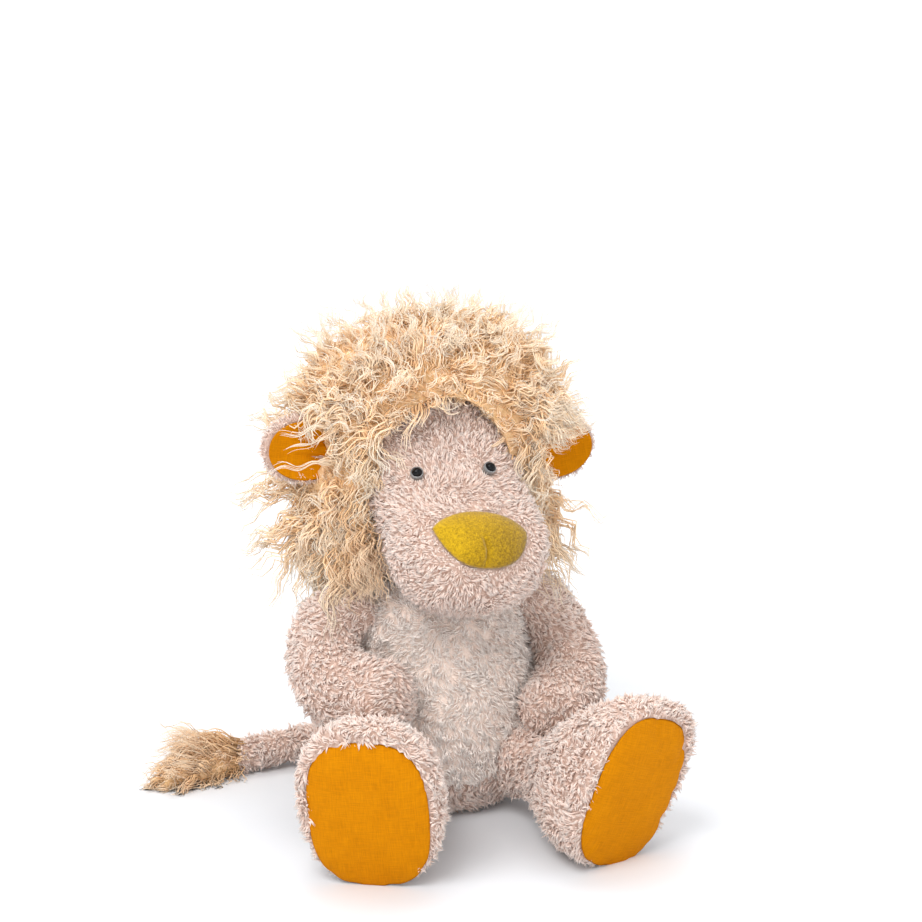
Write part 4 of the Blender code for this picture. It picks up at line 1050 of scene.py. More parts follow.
@dataclass
class Head:
    """The head with its muzzle, felt nose and glass eyes."""

    length: float = 0.174
    width: float = 0.131
    fullness: float = 2.25
    rise: float = 0.068
    drop: float = 0.078
    back_y: float = 0.076
    centre_z: float = 0.245
    muzzle_sink: float = 0.053
    inset: float = 0.0022
    station_shares: tuple = (
        (0.030, 0.42, 0.40, 0.34, 0.00), (0.100, 0.68, 0.66, 0.58, 0.00), (0.220, 0.90, 0.91, 0.80, 0.00),
        (0.360, 1.00, 1.00, 0.94, 0.02), (0.470, 0.98, 0.91, 1.00, 0.08), (0.555, 0.91, 0.70, 1.00, 0.20),
        (0.650, 0.86, 0.50, 0.94, 0.37), (0.750, 0.88, 0.45, 0.77, 0.56), (0.840, 0.87, 0.42, 0.61, 0.74),
        (0.915, 0.73, 0.34, 0.45, 0.88), (0.965, 0.50, 0.24, 0.31, 0.96), (0.990, 0.28, 0.13, 0.17, 0.99),
    )
    nose_width: float = 0.069
    nose_rise: float = 0.009
    nose_drop: float = 0.034
    nose_corner: float = 0.005
    nose_wall: float = 0.0038
    nose_crown: float = 0.0030
    nose_shift: float = 0.0025
    nose_z: float = 0.227
    nose_pitch: float = 38.0
    nose_roll: float = 8.0
    crease_length: float = 0.018
    eye_spacing: float = 0.054
    eye_shift: float = -0.003
    eye_height: float = 0.256
    bead_radius: float = 0.0038
    ring_radius: float = 0.0048
    form: bpy.types.Mesh | None = field(default=None, init=False)
    cover: bpy.types.Mesh | None = field(default=None, init=False)
    eye_places: list = field(default_factory=list, init=False)

    def shape(self) -> bpy.types.Mesh:
        """The head's outer form."""
        rings = []
        for place, width, rise, drop, sink in Soft.smooth_rows(self.station_shares, 44):
            centre = (0.0, self.back_y - place * self.length, self.centre_z - sink * self.muzzle_sink)
            rings.append(Section.at(centre, (1, 0, 0), (0, 0, 1), width * self.width / 2, rise * self.rise, drop * self.drop))
        back = (0.0, self.back_y, self.centre_z)
        front = (0.0, self.back_y - self.length, self.centre_z - self.muzzle_sink)
        return Soft.form("head_form", back, rings, front, 64, self.fullness)

    def nose_frame(self) -> tuple[Vector, Matrix]:
        """The nose's place on the muzzle and its tilt."""
        tree = Soft.tree(self.form)
        place = tree.ray_cast(Vector((self.nose_shift, -self.length, self.nose_z)), Vector((0, 1, 0)))[0]
        pitch = Matrix.Rotation(math.radians(-self.nose_pitch), 4, "X")
        return place, pitch @ Matrix.Rotation(math.radians(self.nose_roll), 4, "Y")

    def nose_edge(self, angle: float) -> tuple[float, float]:
        """The nose's outline: a rounded triangle that hangs from its upper edge."""
        across = math.cos(angle)
        if math.sin(angle) >= 0:
            arch = (1 - abs(across) ** 2.2) ** 0.75
            return across * self.nose_width / 2, self.nose_rise * arch - self.nose_corner * (1 - arch)
        bulge = 2.5 + 0.9 * max(0.0, across)
        hang = (1 - abs(across) ** bulge) ** (0.85 - 0.25 * max(0.0, across))
        return across * self.nose_width / 2, -self.nose_corner - (self.nose_drop - self.nose_corner) * hang

    def nose_spot(self, angle: float, share: float) -> Vector:
        """A place on the nose's flat pattern."""
        x, z = self.nose_edge(angle)
        middle = -0.3 * self.nose_drop
        return Vector((x * share, 0.0, middle + (z - middle) * share))

    def nose_share(self, points: np.ndarray) -> np.ndarray:
        """How far out each place is on the nose: 1 on its edge, and more outside."""
        place, tilt = self.nose_frame()
        turn = np.array(tilt.to_3x3())
        local = (points - np.array(place)) @ turn
        middle = -0.3 * self.nose_drop
        outline = np.array([self.nose_edge(math.pi * 2 * step / 180) for step in range(180)])
        bearings = np.arctan2(outline[:, 1] - middle, outline[:, 0])
        reach = np.hypot(outline[:, 0], outline[:, 1] - middle)
        order = np.argsort(bearings)
        bearing = np.arctan2(local[:, 2] - middle, local[:, 0])
        limit = np.interp(bearing, bearings[order], reach[order], period=2 * math.pi)
        share = np.hypot(local[:, 0], local[:, 2] - middle) / limit
        return np.where(local[:, 1] < 0.03, share, 9.0)

    def build(self, shop: Workshop, mane: "Mane", others: list[bpy.types.Mesh]) -> None:
        """Build and dress the head.

        Args:
            shop: Where the pieces go.
            mane: The mane, which bounds the face.
            others: Forms that hide pile that starts inside them.
        """
        self.form = self.shape()
        self.cover = Soft.offset(self.form, -self.inset, "head_cover")
        cover = shop.add("head_cover", self.cover, shop.finishes.plush_ground, "head", "plush", "head_skin", "head_stuffing")
        self.build_nose(shop)
        for side in Side:
            self.build_eye(shop, side)
        nose_place, _ = self.nose_frame()
        eyes = np.array([place for place in self.eye_places])

        def face(points: np.ndarray, normals: np.ndarray) -> np.ndarray:
            """Places on the face outside the nose and eyes."""
            kept = (points[:, 1] < 0.012) & mane.in_face(points, 0.010) & (self.nose_share(points) > 0.97)
            for eye in eyes:
                kept &= np.linalg.norm(points - eye, axis=1) > self.ring_radius + 0.0006
            for other in others:
                kept &= ~Soft.inside(other, points, 0.003)
            return kept

        def lengths(points: np.ndarray, normals: np.ndarray) -> np.ndarray:
            """Shorter pile beside the nose and the eyes."""
            near = np.clip((self.nose_share(points) - 0.95) / 0.35, 0.35, 1.0)
            for eye in eyes:
                near = np.minimum(near, np.clip(np.linalg.norm(points - eye, axis=1) / 0.011, 0.35, 1.0))
            return near

        centre = (0.0, nose_place.y + 0.03, nose_place.z - 0.004)
        pile = FACE_PILE.grow("head_pile", self.cover, flow_from(centre), face, 21, lengths)
        shop.add_pile("head_pile", pile, shop.finishes.plush, "head", "plush")

    def build_nose(self, shop: Workshop) -> None:
        """Build the crowned felt nose with the crease pressed into it."""
        place, tilt = self.nose_frame()
        tree = Soft.tree(self.form)
        form = bmesh.new()
        bmesh.ops.create_grid(form, x_segments=72, y_segments=48, size=1.0)
        away = tilt.to_3x3() @ Vector((0, 1, 0))
        doomed = []
        for vertex in form.verts:
            x, v = vertex.co.x, vertex.co.y
            square = math.hypot(x, v)
            stretch = max(abs(x), abs(v)) / square if square > 1e-9 else 1.0
            x, v = x * stretch, v * stretch
            share = min(1.0, math.hypot(x, v))
            spot = self.nose_spot(math.atan2(v, x), share)
            start = place + tilt.to_3x3() @ spot - away * self.nose_width
            hit, normal = tree.ray_cast(start, away)[:2]
            if hit is None:
                doomed.append(vertex)
                continue
            crown = self.nose_wall * (1 - share ** 4) ** 0.5 + self.nose_crown * (1 - share ** 2)
            bend = 0.0020 * math.sin((spot.z + self.nose_drop) / self.crease_length * math.pi)
            reach = min(1.0, max(0.0, (-spot.z - self.nose_drop + self.crease_length + 0.004) / 0.006))
            crease = math.exp(-((spot.x - bend) / 0.0013) ** 2) * reach
            vertex.co = hit + normal * (crown - 0.0026 * crease * (1 - share ** 8))
        bmesh.ops.delete(form, geom=doomed, context="VERTS")
        shell = bmesh.ops.solidify(form, geom=form.faces[:], thickness=0.001)
        nose = shop.add("nose_felt", Soft.to_mesh(form, "nose_felt"), shop.finishes.felt, "head", "felt", "nose_patch", "nose_stitch")
        del shell, nose

    def build_eye(self, shop: Workshop, side: Side) -> None:
        """Build one glass eye.

        Args:
            shop: Where the pieces go.
            side: Which eye.
        """
        tree = Soft.tree(self.form)
        start = Vector((self.eye_shift + side.value * self.eye_spacing / 2, -self.length, self.eye_height))
        place, normal = tree.ray_cast(start, Vector((0, 1, 0)))[:2]
        self.eye_places.append(np.array(place))
        turn = Matrix.Translation(place) @ normal.to_track_quat("Z", "Y").to_matrix().to_4x4()
        bead = bmesh.new()
        bmesh.ops.create_icosphere(bead, subdivisions=5, radius=self.bead_radius)
        bmesh.ops.transform(bead, verts=bead.verts, matrix=turn @ Matrix.Translation((0, 0, 0.0014)))
        shop.add(side.word + "_eye_bead", Soft.to_mesh(bead, "bead"), shop.finishes.bead, "head", "bead_black", side.word + "_eye")
        rim = bmesh.new()
        inner = self.bead_radius
        profile = [(inner * 0.9, -0.0022), (self.ring_radius, -0.0022), (self.ring_radius, 0.0012),
                   (self.ring_radius * 0.97, 0.0020), (self.ring_radius * 0.90, 0.0025), (inner * 1.06, 0.0026),
                   (inner * 1.00, 0.0020), (inner * 0.9, 0.0000)]
        line = [rim.verts.new((radius, 0.0, height)) for radius, height in profile]
        edges = [rim.edges.new(pair) for pair in zip(line, line[1:] + line[:1])]
        bmesh.ops.spin(rim, geom=line + edges, cent=(0, 0, 0), axis=(0, 0, 1), angle=2 * math.pi, steps=48, use_merge=True)
        bmesh.ops.remove_doubles(rim, verts=rim.verts, dist=1e-6)
        bmesh.ops.transform(rim, verts=rim.verts, matrix=turn)
        shop.add(side.word + "_eye_rim", Soft.to_mesh(rim, "rim"), shop.finishes.clear, "head", "clear_glass", side.word + "_eye_ring")
        washer = bpy.data.objects[side.word + "_eye_washer"]
        washer.data.materials.clear()
        washer.data.materials.append(shop.finishes.nylon)


MANE_LOCK = Pile(length=0.036, radius=0.00078, spacing=0.0036, jitter=0.50, stray=0.04, sway=0.6, sway_pitch=0.026,
                 curl=0.0038, turns=1.7, planar=0.3, scatter_phase=0.22, tuft=0.0125, gather=0.86, droop=0.16,
                 uneven=0.50, rings=9, thin=0.50)
MANE_FLUFF = Pile(length=0.018, radius=0.00060, spacing=0.0029, jitter=0.75, stray=0.18, sway=0.9, sway_pitch=0.012,
                  curl=0.0022, turns=1.2, planar=0.2, tuft=0.0060, gather=0.60, uneven=0.35, rings=4, thin=0.42)
MANE_WISP = Pile(length=0.045, radius=0.00042, spacing=0.0031, stray=0.05, curl=0.0026, turns=2.4, planar=0.3,
                 scatter_phase=0.2, gather=0.90, droop=0.06, rings=14, thin=0.50)
MANE_FALL = Pile(length=0.050, radius=0.00066, spacing=0.0031, stray=0.09, curl=0.0036, turns=2.8, planar=0.2,
                 scatter_phase=0.35, gather=0.80, rings=12, thin=0.50)


EAR_WISP = Pile(length=0.045, radius=0.00042, spacing=0.0031, stray=0.05, curl=0.0016, turns=1.6, planar=0.4,
                scatter_phase=0.30, gather=0.70, rings=20, thin=0.50)


@dataclass
class Mane:
    """The hood of curly locks round the face, with the ears sewn into its sides."""

    width: float = 0.204
    top: float = 0.362
    bottom: float = 0.180
    front_y: float = -0.042
    back_y: float = 0.104
    opening_width: float = 0.106
    opening_shift: float = -0.006
    opening_top: float = 0.308
    overrun: float = 0.02
    inset: float = 0.008
    bay_radius: float = 0.024
    bay_shift: float = 0.008
    centre: tuple = (-0.006, 0.030, 0.258)
    front_locks: tuple = (
        (22, (-0.076, -0.060), 0.200, 0.236, (0.06, -0.55, -1.0), 0.046, 0.060),
        (30, (-0.084, -0.058), 0.228, 0.300, (0.06, -0.42, -1.0), 0.026, 0.040),
        (30, (0.047, 0.074), 0.216, 0.300, (-0.05, -0.45, -1.0), 0.026, 0.040),
        (44, (0.056, 0.088), 0.276, 0.306, (0.90, -0.42, -0.36), 0.026, 0.040),
    )
    ear_wisps: tuple = (
        ((-0.078, -0.006, 0.288), (-1.0, 0.0, -0.12), 0.048),
        ((-0.078, -0.006, 0.281), (-1.0, 0.0, -0.22), 0.040),
        ((-0.077, -0.007, 0.262), (-1.0, 0.05, -0.02), 0.054),
    )
    level_shares: tuple = (
        (0.04, 0.60, 0.56), (0.14, 0.89, 0.80), (0.28, 0.98, 0.94), (0.44, 0.98, 1.00), (0.60, 0.99, 0.98),
        (0.74, 0.97, 0.90), (0.86, 0.83, 0.76), (0.94, 0.61, 0.56), (0.985, 0.34, 0.30),
    )

    def in_face(self, points: np.ndarray, margin: float) -> np.ndarray:
        """Which places lie in the face opening, widened by a margin."""
        half = self.opening_width / 2
        shoulder = self.opening_top - half * 1.15
        rise = self.opening_top - shoulder
        across = points[:, 0] - self.opening_shift
        high = np.hypot(across / (half + margin), (points[:, 2] - shoulder) / (rise + margin)) < 1
        return np.where(points[:, 2] > shoulder, high, np.abs(across) < half + margin)

    def face_prism(self) -> bpy.types.Mesh:
        """The block that opens the mane round the face."""
        half = self.opening_width / 2
        middle = self.opening_shift
        shoulder = self.opening_top - half * 1.15
        low = self.bottom - self.overrun * 2
        outline = [(middle - half, low)]
        for index in range(25):
            angle = math.pi * (1 - index / 24)
            outline.append((middle + half * math.cos(angle), shoulder + (self.opening_top - shoulder) * math.sin(angle)))
        outline.append((middle + half, low))
        form = bmesh.new()
        face = form.faces.new([form.verts.new((x, 0.0, z)) for x, z in outline])
        pushed = bmesh.ops.extrude_face_region(form, geom=[face])
        moved = [item for item in pushed["geom"] if isinstance(item, bmesh.types.BMVert)]
        bmesh.ops.translate(form, verts=moved, vec=(0.0, -0.2, 0.0))
        return Soft.to_mesh(form, "face_prism")

    def shape(self) -> bpy.types.Mesh:
        """The mane's outer form."""
        middle = (self.front_y + self.back_y) / 2
        half_depth = (self.back_y - self.front_y) / 2
        low = self.bottom - self.overrun
        rings = []
        for level, width, depth in Soft.smooth_rows(self.level_shares, 36):
            centre = (0.0, middle, low + level * (self.top - low))
            rings.append(Section.at(centre, (1, 0, 0), (0, 1, 0), width * self.width / 2, depth * half_depth))
        return Soft.form("mane_form", (0.0, middle, low), rings, (0.0, middle, self.top), 72)

    def ear_bay(self, ear: "Ear") -> bpy.types.Mesh:
        """The round bay in front of an ear, which shows its lining."""
        form = bmesh.new()
        depth = 0.1
        bmesh.ops.create_cone(form, cap_ends=True, segments=32, radius1=self.bay_radius, radius2=self.bay_radius, depth=depth)
        turn = Matrix.Rotation(math.pi / 2, 4, "X")
        place = Matrix.Translation((ear.side.value * (ear.centre_x + self.bay_shift), ear.centre_y - depth / 2, ear.centre_z))
        bmesh.ops.transform(form, verts=form.verts, matrix=place @ turn)
        return Soft.to_mesh(form, "ear_bay")

    def temple(self, points: np.ndarray) -> np.ndarray:
        """How far each place is at a temple, where locks fall beside the ear: 0 to 1."""
        out = np.clip((np.abs(points[:, 0] - self.centre[0]) - 0.045) / 0.015, 0, 1)
        return out * np.clip((0.310 - points[:, 2]) / 0.020, 0, 1)

    def flow(self, points: np.ndarray, normals: np.ndarray) -> np.ndarray:
        """Locks part at the face, stand out at the top and fall at the sides."""
        away = points - np.array(self.centre)
        radial = unit(away * np.array((1.0, 0.0, 1.0)))
        side = np.sign(away[:, 0])[:, None]
        low = np.maximum(np.clip((0.282 - points[:, 2]) / 0.05, 0, 1), self.temple(points))[:, None]
        rear = np.clip((points[:, 1] - 0.045) / 0.03, 0, 1)[:, None]
        spread = np.clip((points[:, 2:] - 0.215) / 0.05, -0.7, 1) * 0.35
        stand = radial * np.array((1.25, 1.0, 1.0)) + np.array((0.0, 0.15, 0.10))
        fall = np.concatenate([spread * side, np.full_like(side, -0.05), np.full_like(side, -1.0)], axis=1)
        front = stand * (1 - low) + fall * low
        down = np.concatenate([0.35 * away[:, :1] / 0.08, 0.1 * np.ones_like(side), np.full_like(side, -1.0)], axis=1)
        brim = (self.in_face(points, 0.0008) & (points[:, 1] < 0.03))[:, None]
        return np.where(brim, np.array((0.0, -1.0, 0.15)), front * (1 - rear) + down * rear)

    def rise(self, points: np.ndarray, normals: np.ndarray) -> np.ndarray:
        """Locks stand at the top and lie down lower and at the back."""
        low = np.clip((0.290 - points[:, 2]) / 0.07, 0, 1)
        rear = np.clip((points[:, 1] - 0.040) / 0.03, 0, 1)
        brim = self.in_face(points, 0.0008) & (points[:, 1] < 0.03)
        return np.where(brim, 0.78, 0.50 + 0.20 * low + 0.22 * rear * (1 - low))

    def build(self, shop: Workshop, head: bpy.types.Mesh, neck_place: Vector, ears: tuple) -> None:
        """Build the hood and its locks.

        Args:
            shop: Where the pieces go.
            head: The head's form, which fills the hood.
            neck_place: The centre of the neck.
            ears: The ears, which the locks leave open.
        """
        block = bmesh.new()
        bmesh.ops.create_cube(block, size=0.6)
        bmesh.ops.translate(block, verts=block.verts, vec=(0.0, 0.0, self.bottom - 0.3))
        nape = bmesh.new()
        bmesh.ops.create_icosphere(nape, subdivisions=4, radius=0.054)
        bmesh.ops.translate(nape, verts=nape.verts, vec=neck_place)
        outer = Soft.offset(self.shape(), -self.inset, "mane_hood")
        hood = Soft.difference(outer, Soft.offset(head, 0.0003), self.face_prism(), Soft.to_mesh(block, "hem"),
                               Soft.to_mesh(nape, "nape"), *[self.ear_bay(ear) for ear in ears])
        form = Soft.ordered(hood)
        bmesh.ops.triangulate(form, faces=form.faces)
        hood = Soft.to_mesh(form, "mane_hood")
        cover = shop.add("mane_hood", hood, shop.finishes.mane_ground, "head", "mane_pile", "mane")

        def before_ear(points: np.ndarray, room: float) -> np.ndarray:
            """Places in front of an ear's lining."""
            result = np.zeros(len(points), bool)
            for ear in ears:
                x = (points[:, 0] - ear.side.value * (ear.centre_x + 0.004)) / (ear.width / 2 + room)
                z = (points[:, 2] - ear.centre_z) / (ear.height / 2 + room)
                result |= (np.hypot(x, z) < 1) & (points[:, 1] < ear.centre_y + 0.004)
            return result

        def flow(points: np.ndarray, normals: np.ndarray) -> np.ndarray:
            """The mane's flow, turned back behind an ear so that no lock comes through its lining."""
            result = self.flow(points, normals)
            for ear in ears:
                x = (points[:, 0] - ear.side.value * (ear.centre_x + 0.004)) / (ear.width / 2 + 0.016)
                z = (points[:, 2] - ear.centre_z - 0.006) / (ear.height / 2 + 0.018)
                behind = (np.hypot(x, z) < 1) & (points[:, 1] > ear.centre_y - 0.004)
                near = behind * np.clip((ear.centre_y + 0.045 - points[:, 1]) / 0.020, 0, 1)
                result = result + near[:, None] * np.array((0.0, 1.8, 0.0))
            return result

        def grows(points: np.ndarray, normals: np.ndarray) -> np.ndarray:
            """Outer places of the hood."""
            below = (points[:, 2] < self.bottom + 0.002) & (normals[:, 2] < -0.5)
            kept = ~below & ~Soft.inside(head, points, 0.0005)
            for ear in ears:
                bay = points[:, [0, 2]] - np.array((ear.side.value * (ear.centre_x + self.bay_shift), ear.centre_z))
                kept &= (np.linalg.norm(bay, axis=1) > self.bay_radius + 0.0006) | (points[:, 1] > ear.centre_y + 0.002)
            return kept & (np.linalg.norm(points - np.array(neck_place), axis=1) > 0.0555)

        def lengths(points: np.ndarray, normals: np.ndarray) -> np.ndarray:
            """Short at the hairline and above the ears, long at the sides."""
            near_face = np.where(self.in_face(points, 0.008) & (points[:, 1] < 0.03), 0.60, 1.0)
            near_face = np.where(self.in_face(points, 0.0008) & (points[:, 1] < 0.03), 0.34, near_face)
            near_ear = np.where(before_ear(points, 0.010), 0.36, 1.0)
            rear = 1 - 0.14 * np.clip((points[:, 1] - 0.03) / 0.04, 0, 1)
            crown = np.clip((points[:, 2] - 0.300) / 0.040, 0, 1)
            corner = np.clip((-points[:, 0] - 0.020) / 0.030, 0, 1)
            patch = np.clip(1 + 0.35 * drift(points, 0.030, 36)[:, 0], 0.6, 1.5)
            return near_face * near_ear * rear * patch * (1 - crown * (0.34 + 0.28 * corner))

        regions = {
            "front": lambda p: (p[:, 1] < 0.020),
            "rear": lambda p: (p[:, 1] >= 0.020),
        }
        for seed, (word, region) in enumerate(regions.items()):
            for half, sign in (("right", -1.0), ("left", 1.0)):
                here = lambda p, n: grows(p, n) & region(p) & (p[:, 0] * sign >= 0)
                number = 31 + seed * 2 + int(sign > 0)
                locks = MANE_LOCK.grow("mane_locks", hood, flow, here, number, lengths, self.rise)
                shop.add_pile(f"mane_locks_{word}_{half}", locks, shop.finishes.mane, "head", "mane_pile")
                fluff = MANE_FLUFF.grow("mane_fluff", hood, flow, here, number + 10, lengths, self.rise)
                shop.add_pile(f"mane_fluff_{word}_{half}", fluff, shop.finishes.mane, "head", "mane_pile")
        self.add_wisps(shop, hood, before_ear)

    def add_wisps(self, shop: Workshop, hood: bpy.types.Mesh, before_ear: Callable) -> None:
        """Add the long thin locks that stand out of the mane.

        Args:
            shop: Where the pieces go.
            hood: The hood that they stand on.
            before_ear: Which places are in front of an ear.
        """
        rng = np.random.default_rng(37)
        tree = Soft.tree(hood)
        wisps, falls, deep = [], [], []
        for _ in range(260):
            turn = math.radians(rng.uniform(-25, 205))
            out = Vector((math.cos(turn), 0.0, math.sin(turn)))
            start = Vector((self.centre[0], rng.uniform(-0.03, 0.05), self.centre[2])) + out * 0.2
            place, normal = tree.ray_cast(start, -out)[:2]
            if place is None or place.z < self.bottom + 0.004 or before_ear(np.array([place[:]]), 0.006)[0]:
                continue
            fall = max(0.0, min(1.0, (0.262 - place.z) / 0.05))
            heading = out + normal * 0.3 + Vector(rng.normal(size=3)) * 0.30
            heading = (heading.normalized() * (1 - fall) + Vector((out.x * 0.25, 0.0, -1.0)) * fall).normalized()
            if abs(out.x) > 0.8 and place.y > 0.0:
                heading = (heading + Vector((0.0, 1.1, 0.0))).normalized()
            room = (HIGHEST_HAIR - place.z) / max(heading.z, 0.05)
            length = rng.uniform(0.026, 0.046)
            if place.z < 0.262:
                length *= 0.62
            wisps.append((place, heading, min(room, length)))
        for index in range(170):
            sign = -1.0 if index % 4 else 1.0
            low = self.bottom + (0.003 if sign < 0 else 0.014)
            start = Vector((sign * 0.2, rng.uniform(-0.035, 0.085), rng.uniform(low, self.bottom + 0.050)))
            aim = Vector((sign * 0.03, start.y * 0.5 + 0.02, start.z)) - start
            place, normal = tree.ray_cast(start, aim.normalized())[:2]
            if place is None or self.in_face(np.array([place[:]]), 0.002)[0]:
                continue
            heading = Vector((sign * rng.uniform(-0.60, 0.15), rng.normal() * 0.25, -1.0)) + normal * 0.15
            falls.append((place, heading, rng.uniform(0.020, 0.046) * (1.0 if sign < 0 else 0.75)))
        for _ in range(70):
            start = Vector((rng.uniform(-0.075, 0.075), 0.2, rng.uniform(self.bottom + 0.003, self.bottom + 0.040)))
            place, normal = tree.ray_cast(start, Vector((0, -1, 0)))[:2]
            if place is not None and place.y > 0.03:
                falls.append((place, Vector((rng.normal() * 0.25, 0.0, -1.0)) + normal * 0.25, rng.uniform(0.028, 0.048)))
        for index in range(110):
            sign = 1.0 if index % 4 == 0 else -1.0
            start = Vector((sign * rng.uniform(0.036, 0.080), rng.uniform(-0.030, 0.085), 0.1))
            place = tree.ray_cast(start, Vector((0, 0, 1)))[0]
            if place is not None and place.z < self.bottom + 0.012 and (sign < 0 or place.y > 0.03):
                reach = 0.018 if place.y < 0.03 else 0.036
                deep.append((place, Vector((rng.normal() * 0.2, rng.normal() * 0.2, -1.0)), reach * rng.uniform(0.8, 1.2)))
        for count, side, low, high, heading, least, most in self.front_locks:
            kind = deep if high < 0.24 else falls
            for _ in range(count):
                start = Vector((rng.uniform(*side), -0.2, rng.uniform(low, high)))
                place = tree.ray_cast(start, Vector((0, 1, 0)))[0]
                if place is not None and place.y < 0.03 and not before_ear(np.array([place[:]]), 0.0)[0]:
                    turned = Vector(heading) + Vector(rng.normal(size=3)) * 0.14
                    kind.append((place, turned, rng.uniform(least, most)))
        across_ear = [(Vector(root), Vector(heading), length) for root, heading, length in self.ear_wisps]
        finishes = shop.finishes
        strewn = (
            ("mane_wisps", MANE_WISP, wisps, 4, 0.0012, finishes.mane_cream),
            ("mane_ear_wisps", EAR_WISP, across_ear, 6, 0.0003, finishes.mane_cream),
            ("mane_falls", MANE_FALL, falls[::3] + falls[1::3], 9, 0.0028, finishes.mane),
            ("mane_pale_falls", MANE_FALL, falls[2::3], 9, 0.0026, finishes.mane_cream),
            # The locks under the hood's hem and beside the muzzle take the darker finish as painted shade.
            ("mane_deep_falls", MANE_FALL, deep, 9, 0.0028, finishes.mane_deep),
        )
        for seed, (name, pile, locks, strands, spread, finish) in enumerate(strewn):
            shop.add_pile(name, pile.strew(name, locks, strands, spread, 38 + seed), finish, "head", "mane_pile")


@dataclass
class Ear:
    """A cupped plush ear with a linen lining."""

    side: Side
    centre_x: float = 0.098
    centre_y: float = 0.018
    centre_z: float = 0.268
    width: float = 0.062
    height: float = 0.050
    wall: float = 0.012
    cup_radius: float = 0.080
    cup_depth: float = 0.0035
    hem: float = 0.004
    lift: float = 8.0

    def pad(self, name: str, inset: float, wall: float) -> bpy.types.Mesh:
        """A flat round pad facing -Y, in its own frame."""
        rings = []
        for index in range(1, 16):
            angle = math.pi * index / 16
            spread = math.sin(angle) ** 0.6
            rings.append(Section.at((0.0, wall / 2 * math.cos(angle), 0.0), (1, 0, 0), (0, 0, 1),
                                    (self.width / 2 - inset) * spread, (self.height / 2 - inset) * spread))
        return Soft.form(name, (0.0, wall / 2, 0.0), rings, (0.0, -wall / 2, 0.0), 48)

    def build(self, shop: Workshop) -> None:
        """Build and dress the ear.

        Args:
            shop: Where the pieces go.
        """
        sign = self.side.value
        word = self.side.word
        turn = Matrix.Rotation(math.radians(-sign * self.lift), 4, "Y")
        place = Matrix.Translation((sign * self.centre_x, self.centre_y, self.centre_z)) @ turn
        back = self.pad(word + "_ear_back", 0.0005, self.wall)
        deepest = self.cup_depth - self.wall / 2
        for vertex in back.vertices:
            if vertex.co.y < 0:
                reach = math.hypot(vertex.co.x, vertex.co.z)
                bowl = deepest + 0.0022 - (self.cup_radius - math.sqrt(self.cup_radius ** 2 - reach ** 2))
                vertex.co.y = max(vertex.co.y, bowl)
        back.transform(place)
        shop.add(word + "_ear_cover", back, shop.finishes.plush_ground, "head", "plush", word + "_ear_back")
        lining = bmesh.new()
        bmesh.ops.create_grid(lining, x_segments=32, y_segments=32, size=1.0)
        layer = lining.loops.layers.uv.new("UVMap")
        for vertex in lining.verts:
            x, z = vertex.co.x, vertex.co.y
            square = math.hypot(x, z)
            stretch = max(abs(x), abs(z)) / square if square > 1e-9 else 1.0
            x, z = x * stretch, z * stretch
            x, z = x * (self.width / 2 - self.hem), z * (self.height / 2 - self.hem)
            reach = math.hypot(x, z)
            depth = deepest - (self.cup_radius - math.sqrt(self.cup_radius ** 2 - reach ** 2))
            inner = max(0.0, -sign * x / (self.width / 2) + 0.25)
            valleys = math.exp(-((z - 0.0065) / 0.0022) ** 2) + 1.2 * math.exp(-((z + 0.0040) / 0.0026) ** 2)
            roll = math.exp(-((z - 0.0015) / 0.0036) ** 2)
            vertex.co = (x, depth + 0.0042 * valleys * inner - 0.0034 * roll * inner, z)
        for face in lining.faces:
            for loop in face.loops:
                loop[layer].uv = (loop.vert.co.x, loop.vert.co.z)
        bmesh.ops.solidify(lining, geom=lining.faces[:], thickness=0.0012)
        bmesh.ops.transform(lining, verts=lining.verts, matrix=place)
        shop.add(word + "_ear_linen", Soft.to_mesh(lining, "lining"), shop.finishes.linen, "head", "linen", word + "_ear_lining")
        middle = np.array(place.translation)
        away = np.array(place.to_3x3() @ Vector((0, 1, 0)))

        def rim(points: np.ndarray, normals: np.ndarray) -> np.ndarray:
            """The back and the edge of the ear."""
            local = points - middle
            share = np.hypot(local[:, 0] / (self.width / 2 - self.hem * 0.9), local[:, 2] / (self.height / 2 - self.hem * 0.9))
            return (share > 1.0) | (local @ away > 0.001)

        pile = Pile(length=0.0042, radius=0.00045, spacing=0.0014, lean=0.60, sway=0.5, gather=0.5, tuft=0.0024, rings=2)
        mesh = pile.grow(word + "_ear_pile", back, flow_from(tuple(middle - away * 0.01)), rim, 41 + int(sign))
        shop.add_pile(word + "_ear_pile", mesh, shop.finishes.plush, "head", "plush")


